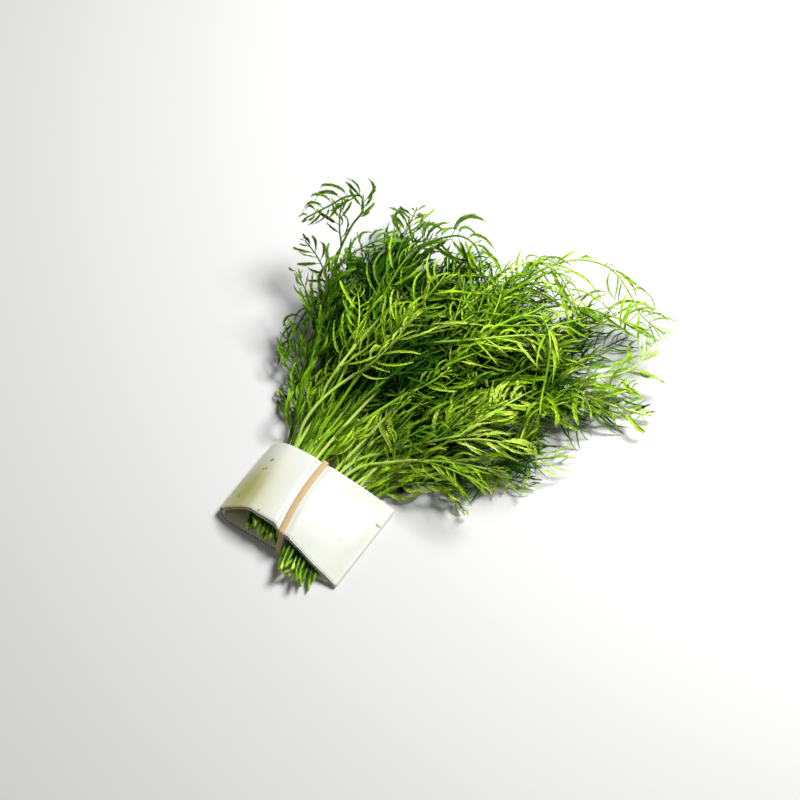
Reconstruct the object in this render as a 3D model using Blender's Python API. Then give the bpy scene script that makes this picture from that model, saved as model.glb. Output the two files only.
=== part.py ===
"""A bunch of young acacia shoots, cut as a herb.

Leafy stems lie in a flattened sleeve of banana leaf sheath, and one flat rubber band runs lengthwise
round the sleeve, through both of its mouths. The shoots fan out of the upper mouth, and their fronds
carry narrow folded pinnae.

Lengths are in millimetres until a solid is finished, and then in metres. +X runs along the sleeve from
the cut ends to the leafy tips, +Y to the left of it and +Z up. The bunch lies on a surface at z = 0.
"""
import math
import random

import bmesh
import bpy
import numpy as np
from mathutils import Matrix, Vector

MM = 0.001
SEED = 41
UP = np.array([0.0, 0.0, 1.0])

# Sleeve: a soft white tube pressed flat, fuller on its left side, with a fold along each side
WALL = 2.4
FOLD_RIGHT_Y = -42.5
FOLD_LEFT_Y = 44.5
FOLD_RIGHT_Z = 2.5
FOLD_LEFT_Z = 5.0
CROWN_Y = 24.0
CROWN_Z = 18.0
FALL_RIGHT = 1.85
FALL_LEFT_LOWER = 1.4
FALL_LEFT_UPPER = 2.6
FLAT_REACH = 36.0
BULGE = 1.0
LOWER_MOUTH_X = 2.0
LOWER_MOUTH_LEAN = 0.5
UPPER_MOUTH_X = 61.5
UPPER_MOUTH_SKEW = 0.08
SLEEVE_STATIONS = 8

# Rubber band: a flat loop that presses a shallow channel into the sleeve
BAND_WIDTH = 3.5
BAND_THICK = 1.3
BAND_START_Y = -2.0
BAND_END_Y = 6.3
BAND_BOW = 2.4
CHANNEL_FLAT = 2.6
CHANNEL_EDGE = 6.4
CHANNEL_BELOW = 1.8
CHANNEL_ABOVE = 0.9
FIT_GAP = 0.3

# Stems: lanes beside the band, in layers
STEM_RADIUS = 1.1
STEM_TIP_RADIUS = 0.55
STEM_SIDES = 4
LANE_FIRST = 4.6
LANE_PITCH = 3.3
LAYER_PITCH = 2.75
LAY_GAP = 0.4
LANE_SPREAD_BACK = 0.86
LANE_SPREAD_FRONT = 1.1
CUT_ENDS_LEFT = (3.0, 11.0)
CUT_ENDS_RIGHT = (-10.0, 0.0)
SLEEVE_JOINTS_X = (20.0, 42.0)
FAN_REACH = (0.84, 0.98)
FAN_SWAY = (-9.0, 6.0)
FAN_LEGS = 9
TURNED_BY = 0.25
RISEN_BY = 0.5
DROOP_FROM = 0.6
DROOP_SHARE = 0.5

# Fronds: lengths between joints, and the narrow pinnae along them
STEM_STEP = 14.5
TIP_FROND_SHARE = 0.42
TIP_FROND_LONGEST = 62.0
BARE_MOST = 0.5
SHOWN_FRONDS = 5
FILLING_FRONDS = 4
FROND_SPREAD = (18, 36)
FROND_TURN = 0.10
FROND_SAG = 0.10
FROND_CURL = 0.26
HIGH_STEM_Z = 28.0
HIGH_STEM_RISE = 0.1
FROND_STALK_CLEAR = 4.6
PAIR_STEP = 11.0
PAIR_BASE = 1.8
FROND_RADIUS = 0.62
FROND_TIP_RADIUS = 0.42
PINNA_BASE_RADIUS = 0.9
PINNA_POINT_RADIUS = 0.08
PINNA_SWEEP = (16, 34)
PINNA_CLEAR = 3.4
CLEAR_GAP = 0.4
OWN_GAP = 0.15
LEAF_FREE_X = 67.5
FLOOR_GAP = 0.15
SHORTEST_LENGTH = 3.0
SIDESTEP_KEPT = 0.7
JOINT_ROOM = 0.5
FROND_LEAST_Z = (2.0, 1.2)


def unit(vector):
    """The vector at length one."""
    return vector / np.linalg.norm(vector)


def ease(share):
    """A smooth rise from 0 to 1."""
    share = min(max(share, 0.0), 1.0)
    return share * share * (3 - 2 * share)


def band_y(x):
    """Where the rubber band lies across the sleeve."""
    share = x / UPPER_MOUTH_X
    bow = BAND_BOW * 4 * share * (1 - share)
    return BAND_START_Y + (BAND_END_Y - BAND_START_Y) * share + max(bow, 0.0)


def channel(x, y):
    """How deep the band's channel is here, from 0 to 1."""
    away = abs(y - band_y(x))
    return 1 - ease((away - CHANNEL_FLAT) / (CHANNEL_EDGE - CHANNEL_FLAT))


def roof_z(x, y):
    """Height of the sleeve's upper face from fold to fold: a ridge at the lower mouth, rounder at the upper."""
    if y < CROWN_Y:
        fall = (CROWN_Y - y) / (CROWN_Y - FOLD_RIGHT_Y)
        return CROWN_Z - (CROWN_Z - FOLD_RIGHT_Z) * fall ** FALL_RIGHT
    fall = (y - CROWN_Y) / (FOLD_LEFT_Y - CROWN_Y)
    bend = FALL_LEFT_LOWER + (FALL_LEFT_UPPER - FALL_LEFT_LOWER) * ease(x / UPPER_MOUTH_X)
    return CROWN_Z - (CROWN_Z - FOLD_LEFT_Z) * fall ** bend


def outer_top(x, y):
    """Height of the sleeve's outside above, with its bulge and the band's channel."""
    pressed = channel(x, y)
    plain = roof_z(x, y) * (1 - pressed) + roof_z(x, band_y(x)) * pressed
    share = min(max(x / UPPER_MOUTH_X, 0.0), 1.0)
    swell = BULGE * math.sin(math.pi * share) * plain / CROWN_Z
    return plain + swell - CHANNEL_ABOVE * pressed


def outer_bottom(x, y):
    """Height of the sleeve's outside below: flat, but for the band's channel and the turn up to each fold."""
    fold_y, fold_z = (FOLD_LEFT_Y, FOLD_LEFT_Z) if y > 0 else (-FOLD_RIGHT_Y, FOLD_RIGHT_Z)
    turn = max(abs(y) - FLAT_REACH, 0.0) / (fold_y - FLAT_REACH)
    return (fold_z - 1.0) * turn ** 2 + CHANNEL_BELOW * channel(x, y)


# How far each corner of a section is from the band, as (millimetres, share of the rest of the way)
SECTION_STEPS = (
    (CHANNEL_FLAT, 0.0),
    ((CHANNEL_FLAT + CHANNEL_EDGE) / 2, 0.0),
    (CHANNEL_EDGE, 0.0),
    (CHANNEL_EDGE, 0.22),
    (CHANNEL_EDGE, 0.42),
    (CHANNEL_EDGE, 0.60),
    (CHANNEL_EDGE, 0.76),
    (CHANNEL_EDGE, 0.90),
    (CHANNEL_EDGE, 1.0),
)
FOLD_NOSE = 1.5
INNER_FOLD_RIGHT_Y = -35.5
INNER_FOLD_LEFT_Y = 40.5


def section_places():
    """The corners of a section in order: right fold, upper face, left fold, lower face."""
    right = [(-1, step) for step in reversed(SECTION_STEPS)]
    left = [(1, step) for step in SECTION_STEPS]
    above = [(side, step, "upper") for side, step in right + left]
    below = [(side, step, "lower") for side, step in reversed(right + left)]
    return [(-1, None, "fold")] + above + [(1, None, "fold")] + below


def face_height(x, y, face, depth):
    """Height of the upper or lower face, sunk by a depth into the wall."""
    if face == "upper":
        return outer_top(x, y) - depth
    return outer_bottom(x, y) + depth


def sleeve_corner(share, place, inner):
    """One corner of the sleeve at a share of its length, on its outside or its inside."""
    side, step, face = place
    depth = WALL if inner else 0.0
    folds = (INNER_FOLD_LEFT_Y, INNER_FOLD_RIGHT_Y) if inner else (FOLD_LEFT_Y, FOLD_RIGHT_Y)
    fold = folds[0] if side > 0 else folds[1]
    row_end = fold - side * FOLD_NOSE
    x, z = UPPER_MOUTH_X * share, 0.0
    for _ in range(3):
        if face == "fold":
            y = fold
            z = (face_height(x, row_end, "upper", depth) + face_height(x, row_end, "lower", depth)) / 2
        else:
            near, rest = step
            y = band_y(x) + side * (near + rest * (abs(row_end - band_y(x)) - near))
            z = face_height(x, y, face, depth)
        lower_x = LOWER_MOUTH_X + LOWER_MOUTH_LEAN * z
        upper_x = UPPER_MOUTH_X - UPPER_MOUTH_SKEW * y
        x = lower_x + (upper_x - lower_x) * share
    return x, y, z


def loft(bm, rows):
    """Quads between closed rows of corners, and the corners themselves, row by row."""
    rings = [[bm.verts.new(spot) for spot in row] for row in rows]
    for ring, following in zip(rings, rings[1:]):
        for index in range(len(ring)):
            after = (index + 1) % len(ring)
            bm.faces.new((ring[index], ring[after], following[after], following[index]))
    return rings


def hollow_loft(name, outer_rows, inner_rows, material):
    """A thick-walled tube: a loft outside, a loft inside, and a rim at each end."""
    bm = bmesh.new()
    outer = loft(bm, outer_rows)
    inner = loft(bm, inner_rows)
    for rim in (0, -1):
        for index in range(len(outer[rim])):
            after = (index + 1) % len(outer[rim])
            bm.faces.new((outer[rim][index], outer[rim][after], inner[rim][after], inner[rim][index]))
    return finish_solid(name, bm, material)


def finish_solid(name, bm, material):
    """Turn a finished shape in millimetres into an object in metres."""
    bmesh.ops.triangulate(bm, faces=bm.faces)
    bmesh.ops.recalc_face_normals(bm, faces=bm.faces)
    bmesh.ops.scale(bm, vec=(MM, MM, MM), verts=bm.verts)
    mesh = bpy.data.meshes.new(name)
    bm.to_mesh(mesh)
    bm.free()
    mesh.materials.append(material)
    piece = bpy.data.objects.new(name, mesh)
    bpy.data.collections[COLLECTION].objects.link(piece)
    return piece


def make_sleeve(material):
    """The banana sheath, pressed to a lens-shaped tube with a thick soft wall."""
    places = section_places()
    shares = [station / (SLEEVE_STATIONS - 1) for station in range(SLEEVE_STATIONS)]
    outer = [[sleeve_corner(share, place, False) for place in places] for share in shares]
    inner = [[sleeve_corner(share, place, True) for place in places] for share in shares]
    return hollow_loft("sheath", outer, inner, material)


def arc_turn(x, z, first, last, count):
    """Supports that turn round one corner of the sleeve, as (x, z, angle of the outward normal)."""
    return [(x, z, first + (last - first) * step / (count - 1)) for step in range(count)]


def band_supports():
    """Where the band bears on the sleeve in its own plane: along the top, round both mouths, and below."""
    back_x = LOWER_MOUTH_X + LOWER_MOUTH_LEAN * outer_top(8.0, band_y(8.0))
    back_top = (back_x, outer_top(back_x, band_y(back_x)))
    back_low = (LOWER_MOUTH_X + LOWER_MOUTH_LEAN * CHANNEL_BELOW, CHANNEL_BELOW)
    front_x = UPPER_MOUTH_X - UPPER_MOUTH_SKEW * BAND_END_Y
    front_top = (front_x, outer_top(front_x, band_y(front_x)))
    lean = math.degrees(math.atan2(back_top[0] - back_low[0], back_top[1] - back_low[1]))
    above, below = [], []
    for share in (0.15, 0.3, 0.45, 0.6, 0.75, 0.9):
        x = back_x + (front_x - back_x) * share
        above.append((x, outer_top(x, band_y(x)), 90.0))
        below.append((back_low[0] + (front_x - back_low[0]) * (1 - share), CHANNEL_BELOW, -90.0))
    supports = arc_turn(*back_top, 180 - lean, 90, 4) + above
    supports += arc_turn(*front_top, 90, 0, 4) + arc_turn(front_x, CHANNEL_BELOW, 0, -90, 4)
    return supports + below + arc_turn(*back_low, -90, -180 - lean, 4)


def band_row(across, lift):
    """One edge line of the band: shifted across its width, and lifted off the sleeve."""
    row = []
    for x, z, normal in band_supports():
        out_x = x + lift * math.cos(math.radians(normal))
        row.append((out_x, band_y(out_x) + across, z + lift * math.sin(math.radians(normal))))
    return row


def make_band(material):
    """The flat rubber band, stretched lengthwise round the sleeve."""
    half = BAND_WIDTH / 2
    outer = [band_row(across, FIT_GAP + BAND_THICK) for across in (-half, half)]
    inner = [band_row(across, FIT_GAP) for across in (-half, half)]
    return hollow_loft("rubber_band", outer, inner, material)


class Space:
    """The stalks and pinnae placed so far, which the next one has to stay clear of."""

    def __init__(self, room=9000):
        self.start = np.zeros((room, 3))
        self.end = np.zeros((room, 3))
        self.start_radius = np.zeros(room)
        self.end_radius = np.zeros(room)
        self.owner = np.zeros(room, dtype=int)
        self.count = 0

    def add(self, start, end, start_radius, end_radius, owner):
        self.start[self.count] = start
        self.end[self.count] = end
        self.start_radius[self.count] = start_radius
        self.end_radius[self.count] = end_radius
        self.owner[self.count] = owner
        self.count += 1

    def room_beside(self, start, end, start_radius, end_radius, chosen):
        """The least space between a new length and the chosen ones."""
        if not chosen.any():
            return math.inf
        near, far = self.start[:self.count][chosen], self.end[:self.count][chosen]
        along, across = end - start, far - near
        between = start - near
        own_square = along @ along
        square = (across * across).sum(1)
        shared = across @ along
        from_near = (across * between).sum(1)
        lead = between @ along
        spread = np.maximum(own_square * square - shared * shared, 1e-9)
        here = np.clip((shared * from_near - lead * square) / spread, 0, 1)
        there = np.clip((shared * here + from_near) / square, 0, 1)
        here = np.clip((shared * there - lead) / own_square, 0, 1)
        gap = between + here[:, None] * along - there[:, None] * across
        own_radius = start_radius + (end_radius - start_radius) * here
        near_radius = self.start_radius[:self.count][chosen]
        far_radius = self.end_radius[:self.count][chosen]
        radius = near_radius + (far_radius - near_radius) * there
        return (np.linalg.norm(gap, axis=1) - own_radius - radius).min()

    def is_clear(self, start, end, start_radius, end_radius, owner, own_from):
        """Whether a new length misses the ground, every other shoot, and its own shoot past own_from."""
        if min(start[2] - start_radius, end[2] - end_radius) < FLOOR_GAP:
            return False
        owners = self.owner[:self.count]
        if self.room_beside(start, end, start_radius, end_radius, owners != owner) < CLEAR_GAP:
            return False
        share = min(own_from / np.linalg.norm(end - start), 0.9)
        later = start + (end - start) * share
        later_radius = start_radius + (end_radius - start_radius) * share
        return self.room_beside(later, end, later_radius, end_radius, owners == owner) >= OWN_GAP


class Strand:
    """A stalk's joints: places, radii and upward directions, with what grows from each joint."""

    def __init__(self, points, radii, up):
        self.points = points
        self.radii = radii
        self.up = carried_up(points, up)
        self.branches = {}
        self.pairs = {}

    def ahead(self, index):
        """Direction of the stalk at a joint."""
        before = self.points[max(index - 1, 0)]
        after = self.points[min(index + 1, len(self.points) - 1)]
        return unit(after - before)


def carried_up(points, up):
    """An upward direction for each joint, carried along without twisting."""
    carried = []
    for index in range(len(points)):
        before, after = points[max(index - 1, 0)], points[min(index + 1, len(points) - 1)]
        ahead = unit(after - before)
        up = unit(up - ahead * (up @ ahead))
        carried.append(up)
    return carried


SIDESTEPS = [np.zeros(3)] + [
    reach * np.array([0.0, math.cos(turn), math.sin(turn)])
    for reach in (2.2, 4.4, 7.0)
    for turn in np.radians((90, 270, 0, 180, 45, 135, 225, 315))
]


def thread(space, route, radii, owner, own_from, least_x):
    """Follow the wanted points, and step aside where another stalk is in the way."""
    placed = [route[0]]
    aside = np.zeros(3)
    for index in range(1, len(route)):
        free = None
        for sidestep in SIDESTEPS:
            spot = route[index] + aside + sidestep
            spot[2] = max(spot[2], radii[index] + FLOOR_GAP + 0.01)
            if spot[0] < least_x or np.linalg.norm(spot - placed[-1]) < SHORTEST_LENGTH:
                continue
            skip = own_from if index == 1 else 2 * radii[index - 1] + JOINT_ROOM
            if space.is_clear(placed[-1], spot, radii[index - 1], radii[index], owner, skip):
                free = spot
                break
        if free is None:
            break
        aside = (free - route[index]) * SIDESTEP_KEPT
        space.add(placed[-1], free, radii[index - 1], radii[index], owner)
        placed.append(free)
    return placed


def smooth_route(before, points, per_span=12):
    """Closely spaced points on a Catmull-Rom curve through the given ones, entering from before."""
    knots = [before] + [np.array(point, dtype=float) for point in points]
    knots.append(2 * knots[-1] - knots[-2])
    dense = []
    for a, b, c, d in zip(knots, knots[1:], knots[2:], knots[3:]):
        for step in range(per_span):
            t = step / per_span
            dense.append(0.5 * (2 * b + (c - a) * t + (2 * a - 5 * b + 4 * c - d) * t ** 2
                                + (3 * b - a - 3 * c + d) * t ** 3))
    return np.array(dense + [knots[-2]])


def places_along(dense, distances):
    """Points at the given distances along a closely spaced route."""
    lengths = np.concatenate([[0], np.cumsum(np.linalg.norm(np.diff(dense, axis=0), axis=1))])
    return [np.array([np.interp(far, lengths, dense[:, axis]) for axis in range(3)]) for far in distances]


def lane_spot(offset, layer, x):
    """Middle of a stem in the sleeve, by its distance from the band and its layer."""
    spread = LANE_SPREAD_BACK + (LANE_SPREAD_FRONT - LANE_SPREAD_BACK) * x / UPPER_MOUTH_X
    y = band_y(x) + offset * spread
    floor = max(outer_bottom(x, y + aside) for aside in (-STEM_RADIUS, 0.0, STEM_RADIUS)) + WALL
    return np.array([x, y, floor + LAY_GAP + STEM_RADIUS + layer * LAYER_PITCH])


def lane_offset(lane):
    """Distance of a numbered lane from the band: positive to its left, negative to its right."""
    return math.copysign(LANE_FIRST + LANE_PITCH * (abs(lane) - 1), lane)


# Shoots that show: lane, layer, bare length, leaf joints, pinna length, and the places that the stem passes
SHOWN_SHOOTS = (
    (8, 0, 45, 3, 14, ((85, 46, 8), (109, 58, 12), (134, 66, 20), (151, 67, 27), (152, 76, 25),
                       (138, 79, 19), (121, 77, 12), (106, 73, 8))),
    (7, 1, 60, 3, 13, ((90, 47, 13), (123, 59, 20), (153, 71, 28), (173, 78, 38), (189, 81, 48), (201, 79, 55),
                       (209, 83, 59), (207, 91, 59), (196, 98, 56), (179, 109, 50))),
    (5, 2, 84, 4, 19, ((95, 32, 18), (130, 38, 24), (166, 45, 30), (193, 50, 34), (215, 41, 37), (231, 28, 38),
                       (235, 18, 36), (231, 8, 30), (226, 2, 23))),
    (6, 3, 52, 4, 20, ((80, 33, 21), (107, 28, 26), (126, 18, 30), (151, 4, 34), (170, -20, 37), (192, -44, 36),
                       (212, -66, 31))),
    (2, 2, 92, 4, 18, ((90, 12, 16), (130, 6, 24), (173, -1, 30), (223, -12, 33), (244, -20, 34), (248, -38, 33),
                       (241, -54, 28), (234, -65, 22))),
    (-1, 1, 88, 4, 17, ((90, -3, 14), (130, -8, 20), (191, -12, 26), (229, -22, 28), (252, -32, 30),
                        (268, -48, 31), (271, -66, 30), (266, -81, 26), (258, -98, 20), (259, -115, 14))),
    (-3, 1, 72, 4, 17, ((95, -14, 12), (140, -19, 17), (182, -25, 21), (218, -38, 24), (239, -60, 25),
                        (247, -82, 22), (254, -106, 17))),
    (1, 1, 96, 4, 15, ((90, 6, 18), (143, -16, 28), (190, -30, 35), (210, -45, 37), (206, -59, 36),
                       (184, -72, 31), (158, -81, 22), (136, -82, 14), (114, -77, 8), (95, -70, 5))),
    (-5, 1, 52, 4, 16, ((95, -26, 10), (130, -38, 13), (168, -52, 15), (190, -76, 14), (206, -94, 14),
                        (220, -107, 14), (234, -112, 15), (248, -110, 17))),
    (-6, 0, 44, 4, 15, ((90, -32, 8), (136, -52, 12), (172, -68, 13), (191, -88, 11), (200, -113, 7),
                        (209, -136, 4))),
    (-7, 0, 24, 4, 16, ((80, -28, 10), (98, -39, 17), (120, -50, 22), (141, -59, 25), (161, -66, 25),
                        (176, -72, 22))),
    (-9, 0, 8, 3, 12, ((68, -29.5, 3.9), (80, -36, 6), (90, -48, 8), (93, -62, 7), (88, -77, 4))),
)

# Shoots that fill the fan: lane, layer, height that it rises to, and how far it strays from the lane's bearing
FILLING_SHOOTS = (
    (7, 0, 5, 4), (6, 0, 14, 0), (5, 0, 4, -3), (4, 0, 13, 1), (3, 0, 4, -1), (2, 0, 15, -2), (1, 0, 4, -7),
    (-1, 0, 9, 7), (-2, 0, 16, 1), (-3, 0, 4, 1), (-4, 0, 13, 0), (-5, 0, 4, -3), (-8, 0, 6, -15),
    (5, 1, 26, -3), (3, 1, 22, -6), (-2, 1, 27, 6), (-4, 1, 20, -2), (-6, 1, 15, -12),
    (4, 2, 36, -10), (3, 2, 32, -22), (6, 2, 30, -11), (-2, 2, 22, -34), (-3, 2, 21, -40),
)
BARE_LOWEST = (16, 42)
BARE_ABOVE = (45, 80)
FILLING_PINNA = (14, 20)
FAN_MIDDLE = -6.0
FAN_LEFT = 0.93
FAN_RIGHT = 0.85
REACH_BEARINGS = (-79, -66, -55, -45, -38, -30, -20, -10, 0, 10, 22, 35, 45, 57)
REACH_LENGTHS = (44, 80, 110, 150, 195, 222, 218, 200, 184, 190, 174, 170, 140, 86)
GOLDEN_TURN = math.radians(137.5)


def fan_points(lane, layer, height, stray, draw):
    """Places that a filling shoot passes: it turns to its bearing, rises, and droops at its end."""
    offset = lane_offset(lane)
    bearing = FAN_MIDDLE + offset * (FAN_LEFT if offset > 0 else FAN_RIGHT) + stray
    reach = np.interp(bearing, REACH_BEARINGS, REACH_LENGTHS) * draw.uniform(*FAN_REACH)
    sway = draw.uniform(*FAN_SWAY)
    spot = lane_spot(offset, layer, UPPER_MOUTH_X)
    base = spot[2]
    lane_bearing = math.degrees(math.atan2(BAND_END_Y - BAND_START_Y, UPPER_MOUTH_X))
    points = []
    for leg in range(1, FAN_LEGS + 1):
        share = leg / FAN_LEGS
        heading = lane_bearing + (bearing - lane_bearing) * ease(share / TURNED_BY) + sway * share * share
        heading = math.radians(heading)
        spot = spot + reach / FAN_LEGS * np.array([math.cos(heading), math.sin(heading), 0])
        rise = (height - base) * ease(share / RISEN_BY)
        droop = DROOP_SHARE * max(height - base, 0.0) * ease((share - DROOP_FROM) / (1 - DROOP_FROM))
        spot[2] = max(base + rise - droop, STEM_RADIUS + FLOOR_GAP)
        points.append(spot.copy())
    return points


def plan_stem(space, owner, lane, layer, bare, points, draw):
    """Lay one stem from its cut end, through the sleeve, and along its places to the tip of its last frond."""
    offset = lane_offset(lane)
    cut_x = draw.uniform(*CUT_ENDS_LEFT) if lane > 0 else draw.uniform(*CUT_ENDS_RIGHT)
    inside = [lane_spot(offset, layer, x) for x in (cut_x, *SLEEVE_JOINTS_X, UPPER_MOUTH_X)]
    dense = smooth_route(inside[2], [inside[3]] + list(points))
    length = np.linalg.norm(np.diff(dense, axis=0), axis=1).sum()
    frond = min(TIP_FROND_SHARE * length, TIP_FROND_LONGEST)
    stem_joints = max(round((length - frond) / STEM_STEP), 1)
    pair_joints = max(round(frond / PAIR_STEP), 2)
    stem_end = length - frond
    distances = [stem_end * step / stem_joints for step in range(1, stem_joints + 1)]
    distances += [stem_end + frond * step / pair_joints for step in range(1, pair_joints + 1)]
    route = inside + places_along(dense, distances)
    radii = stem_radii(len(inside), stem_joints, pair_joints)
    for index in range(3):
        space.add(inside[index], inside[index + 1], STEM_RADIUS, STEM_RADIUS, owner)
    outside = thread(space, route[3:], radii[3:], owner, 2 * STEM_RADIUS + JOINT_ROOM, -math.inf)
    stem = Strand(inside[:3] + outside, radii, UP)
    bare = min(bare, BARE_MOST * stem_end)
    first_leaf = 3 + max(round(bare / (stem_end / stem_joints)), 1)
    stem.leaf_joints = list(range(first_leaf, 3 + stem_joints))
    stem.pair_joints = list(range(4 + stem_joints, len(stem.points) - 1))
    return stem


def stem_radii(inside, stem_joints, pair_joints):
    """Radius at each joint: full in the sleeve, slimmer to the tip."""
    outside = stem_joints + pair_joints
    slim = [STEM_RADIUS + (STEM_TIP_RADIUS - STEM_RADIUS) * step / outside for step in range(1, outside + 1)]
    return [STEM_RADIUS] * inside + slim


def plan_leaf(space, owner, stem, joint, roll, pairs, draw):
    """Lay one side frond from a stem's joint, trying other sides of the stem if the first is taken."""
    ahead, up = stem.ahead(joint), stem.up[joint]
    side = np.cross(up, ahead)
    best = []
    for turn in (0, 50, -50, 100, -100, 150):
        angle = roll + math.radians(turn)
        outward = side * math.cos(angle) + up * math.sin(angle)
        spread = math.radians(draw.uniform(*FROND_SPREAD))
        curl = draw.uniform(-FROND_CURL, FROND_CURL)
        heading = unit(ahead * math.cos(spread) + outward * math.sin(spread))
        route = [stem.points[joint]]
        for _ in range(pairs + 1):
            route.append(route[-1] + heading * PAIR_STEP)
            heading = unit(heading + FROND_TURN * ahead + curl * side - FROND_SAG * UP)
        radii = [FROND_RADIUS + (FROND_TIP_RADIUS - FROND_RADIUS) * k / (pairs + 1) for k in range(pairs + 2)]
        if route[1][2] < FROND_LEAST_Z[0] or route[2][2] < FROND_LEAST_Z[1]:
            continue
        if stem.points[joint][2] > HIGH_STEM_Z and outward[2] > HIGH_STEM_RISE:
            continue
        kept = space.count
        placed = thread(space, route, radii, owner, FROND_STALK_CLEAR, LEAF_FREE_X)
        if len(placed) > len(best):
            best, best_radii, best_outward = placed, radii, outward
        if len(placed) >= len(route) - 1:
            break
        space.count = kept
    if len(best) < 3:
        return
    if space.count == 0 or not np.array_equal(space.end[space.count - 1], best[-1]):
        for k in range(1, len(best)):
            space.add(best[k - 1], best[k], best_radii[k - 1], best_radii[k], owner)
    leaf = Strand(best, best_radii, unit(UP + 0.5 * draw.uniform(-1, 1) * side))
    leaf.leaf_joints = []
    leaf.pair_joints = list(range(1, len(best) - 1))
    stem.branches[joint] = (leaf, best_outward)


def plan_pinna(space, owner, strand, joint, sign, length, draw):
    """The tip of one pinna, swept forward from a joint, or None where there is no room for it."""
    ahead, up = strand.ahead(joint), strand.up[joint]
    side = np.cross(up, ahead) * sign
    base = strand.points[joint] + side * strand.radii[joint] * 0.5
    sweep = math.radians(draw.uniform(*PINNA_SWEEP))
    lift = draw.uniform(-0.25, 0.12)
    for shorten, tilt, turn in PINNA_TRIES:
        angle = sweep + math.radians(turn)
        heading = unit(ahead * math.cos(angle) + side * math.sin(angle) + UP * (lift + tilt))
        tip = base + heading * length * shorten
        tip[2] = max(tip[2], PINNA_POINT_RADIUS + FLOOR_GAP + 0.01)
        if tip[0] < LEAF_FREE_X:
            continue
        if space.is_clear(base, tip, PINNA_BASE_RADIUS, PINNA_POINT_RADIUS, owner, PINNA_CLEAR):
            space.add(base, tip, PINNA_BASE_RADIUS, PINNA_POINT_RADIUS, owner)
            return tip
    return None


PINNA_TRIES = [
    (shorten, tilt, turn)
    for shorten in (1.0, 0.72)
    for tilt, turn in ((0, 0), (0.3, 0), (-0.3, 0), (0.55, 8), (-0.5, 8), (0.2, 20), (-0.2, 20), (0, -14))
]


def strands_of(stem):
    """A stem and its side fronds."""
    return [stem] + [leaf for leaf, _ in stem.branches.values()]


def plan_pinnae(space, stems, lengths, draw):
    """Give every frond joint its pair of pinnae, joint by joint round all shoots, so that none starves."""
    deepest = max(len(strand.pair_joints) for stem in stems for strand in strands_of(stem))
    for rank in range(deepest):
        for owner, stem in enumerate(stems):
            for strand in strands_of(stem):
                if rank >= len(strand.pair_joints):
                    continue
                joint = strand.pair_joints[rank]
                share = (rank + 1) / (len(strand.pair_joints) + 1)
                length = lengths[owner] * (0.55 + 0.45 * math.sin(math.pi * share)) * draw.uniform(0.85, 1.15)
                strand.pairs[joint] = [plan_pinna(space, owner, strand, joint, sign, length, draw)
                                       for sign in (1, -1)]


def plan_bunch():
    """Lay out every shoot of the bunch, each clear of the others."""
    draw = random.Random(SEED)
    space = Space()
    specs = list(SHOWN_SHOOTS)
    for lane, layer, height, stray in FILLING_SHOOTS:
        points = fan_points(lane, layer, height, stray, draw)
        bare = draw.uniform(*BARE_LOWEST) if layer == 0 else draw.uniform(*BARE_ABOVE)
        specs.append((lane, layer, bare, draw.choice((3, 3, 4)), draw.uniform(*FILLING_PINNA), points))
    stems = [plan_stem(space, owner, lane, layer, bare, points, draw)
             for owner, (lane, layer, bare, _, _, points) in enumerate(specs)]
    for rank in range(SHOWN_FRONDS):
        for owner, stem in enumerate(stems):
            most = SHOWN_FRONDS if owner < len(SHOWN_SHOOTS) else FILLING_FRONDS
            if rank < min(most, len(stem.leaf_joints)) and stem.leaf_joints[rank] < len(stem.points) - 2:
                roll = GOLDEN_TURN * (rank + 2 * owner)
                plan_leaf(space, owner, stem, stem.leaf_joints[rank], roll, specs[owner][3], draw)
    plan_pinnae(space, stems, [spec[4] for spec in specs], draw)
    return stems


def pull(bm, face, middle, ahead, up, radius):
    """Pull a face out to the next joint of a stalk, with its corners evenly round the middle."""
    end = bmesh.ops.extrude_discrete_faces(bm, faces=[face])["faces"][0]
    old = end.calc_center_median()
    right = ahead.cross(up)
    corners = len(end.verts)
    first = math.pi / corners if corners == 4 else 0.0
    now = [math.atan2((vert.co - old).dot(right), (vert.co - old).dot(up)) for vert in end.verts]
    spots = [[first + math.tau * (index + shift) / corners for index in range(corners)]
             for shift in range(corners)]
    angles = min(spots, key=lambda turns: sum(1 - math.cos(a - b) for a, b in zip(turns, now)))
    for vert, angle in zip(end.verts, angles):
        vert.co = middle + radius * (up * math.cos(angle) + right * math.sin(angle))
    end.normal_update()
    return end


def side_facing(end, wanted):
    """The side of the last length that faces most nearly a wanted way."""
    sides = [face for edge in end.edges for face in edge.link_faces if face is not end]
    for side in sides:
        side.normal_update()
    return max(sides, key=lambda side: side.normal.dot(wanted))


def point_out(bm, face, tip):
    """Draw a face out to a point."""
    bmesh.ops.poke(bm, faces=[face])["verts"][0].co = Vector(tip)


def grow(bm, end, strand, first_joint):
    """Grow a strand's joints from a face, with its pinnae and side fronds, and close it at its tip."""
    last = len(strand.points) - 1
    for joint in range(first_joint, last):
        middle, ahead, up = Vector(strand.points[joint]), Vector(strand.ahead(joint)), Vector(strand.up[joint])
        radius = strand.radii[joint]
        if joint in strand.pairs or joint in strand.branches:
            end = pull(bm, end, middle - ahead * PAIR_BASE / 2, ahead, up, radius)
            end = pull(bm, end, middle + ahead * PAIR_BASE / 2, ahead, up, radius)
            grow_pair(bm, end, strand.pairs.get(joint, ()), up.cross(ahead))
            grow_leaf(bm, end, strand.branches.get(joint))
        else:
            end = pull(bm, end, middle, ahead, up, radius)
    point_out(bm, end, strand.points[last])


def grow_pair(bm, end, tips, left):
    """Draw the pinnae of a joint out of the stalk's left and right sides."""
    for tip, outward in zip(tips, (left, -left)):
        if tip is not None:
            point_out(bm, side_facing(end, outward + Vector(UP) * 0.2), tip)


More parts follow.
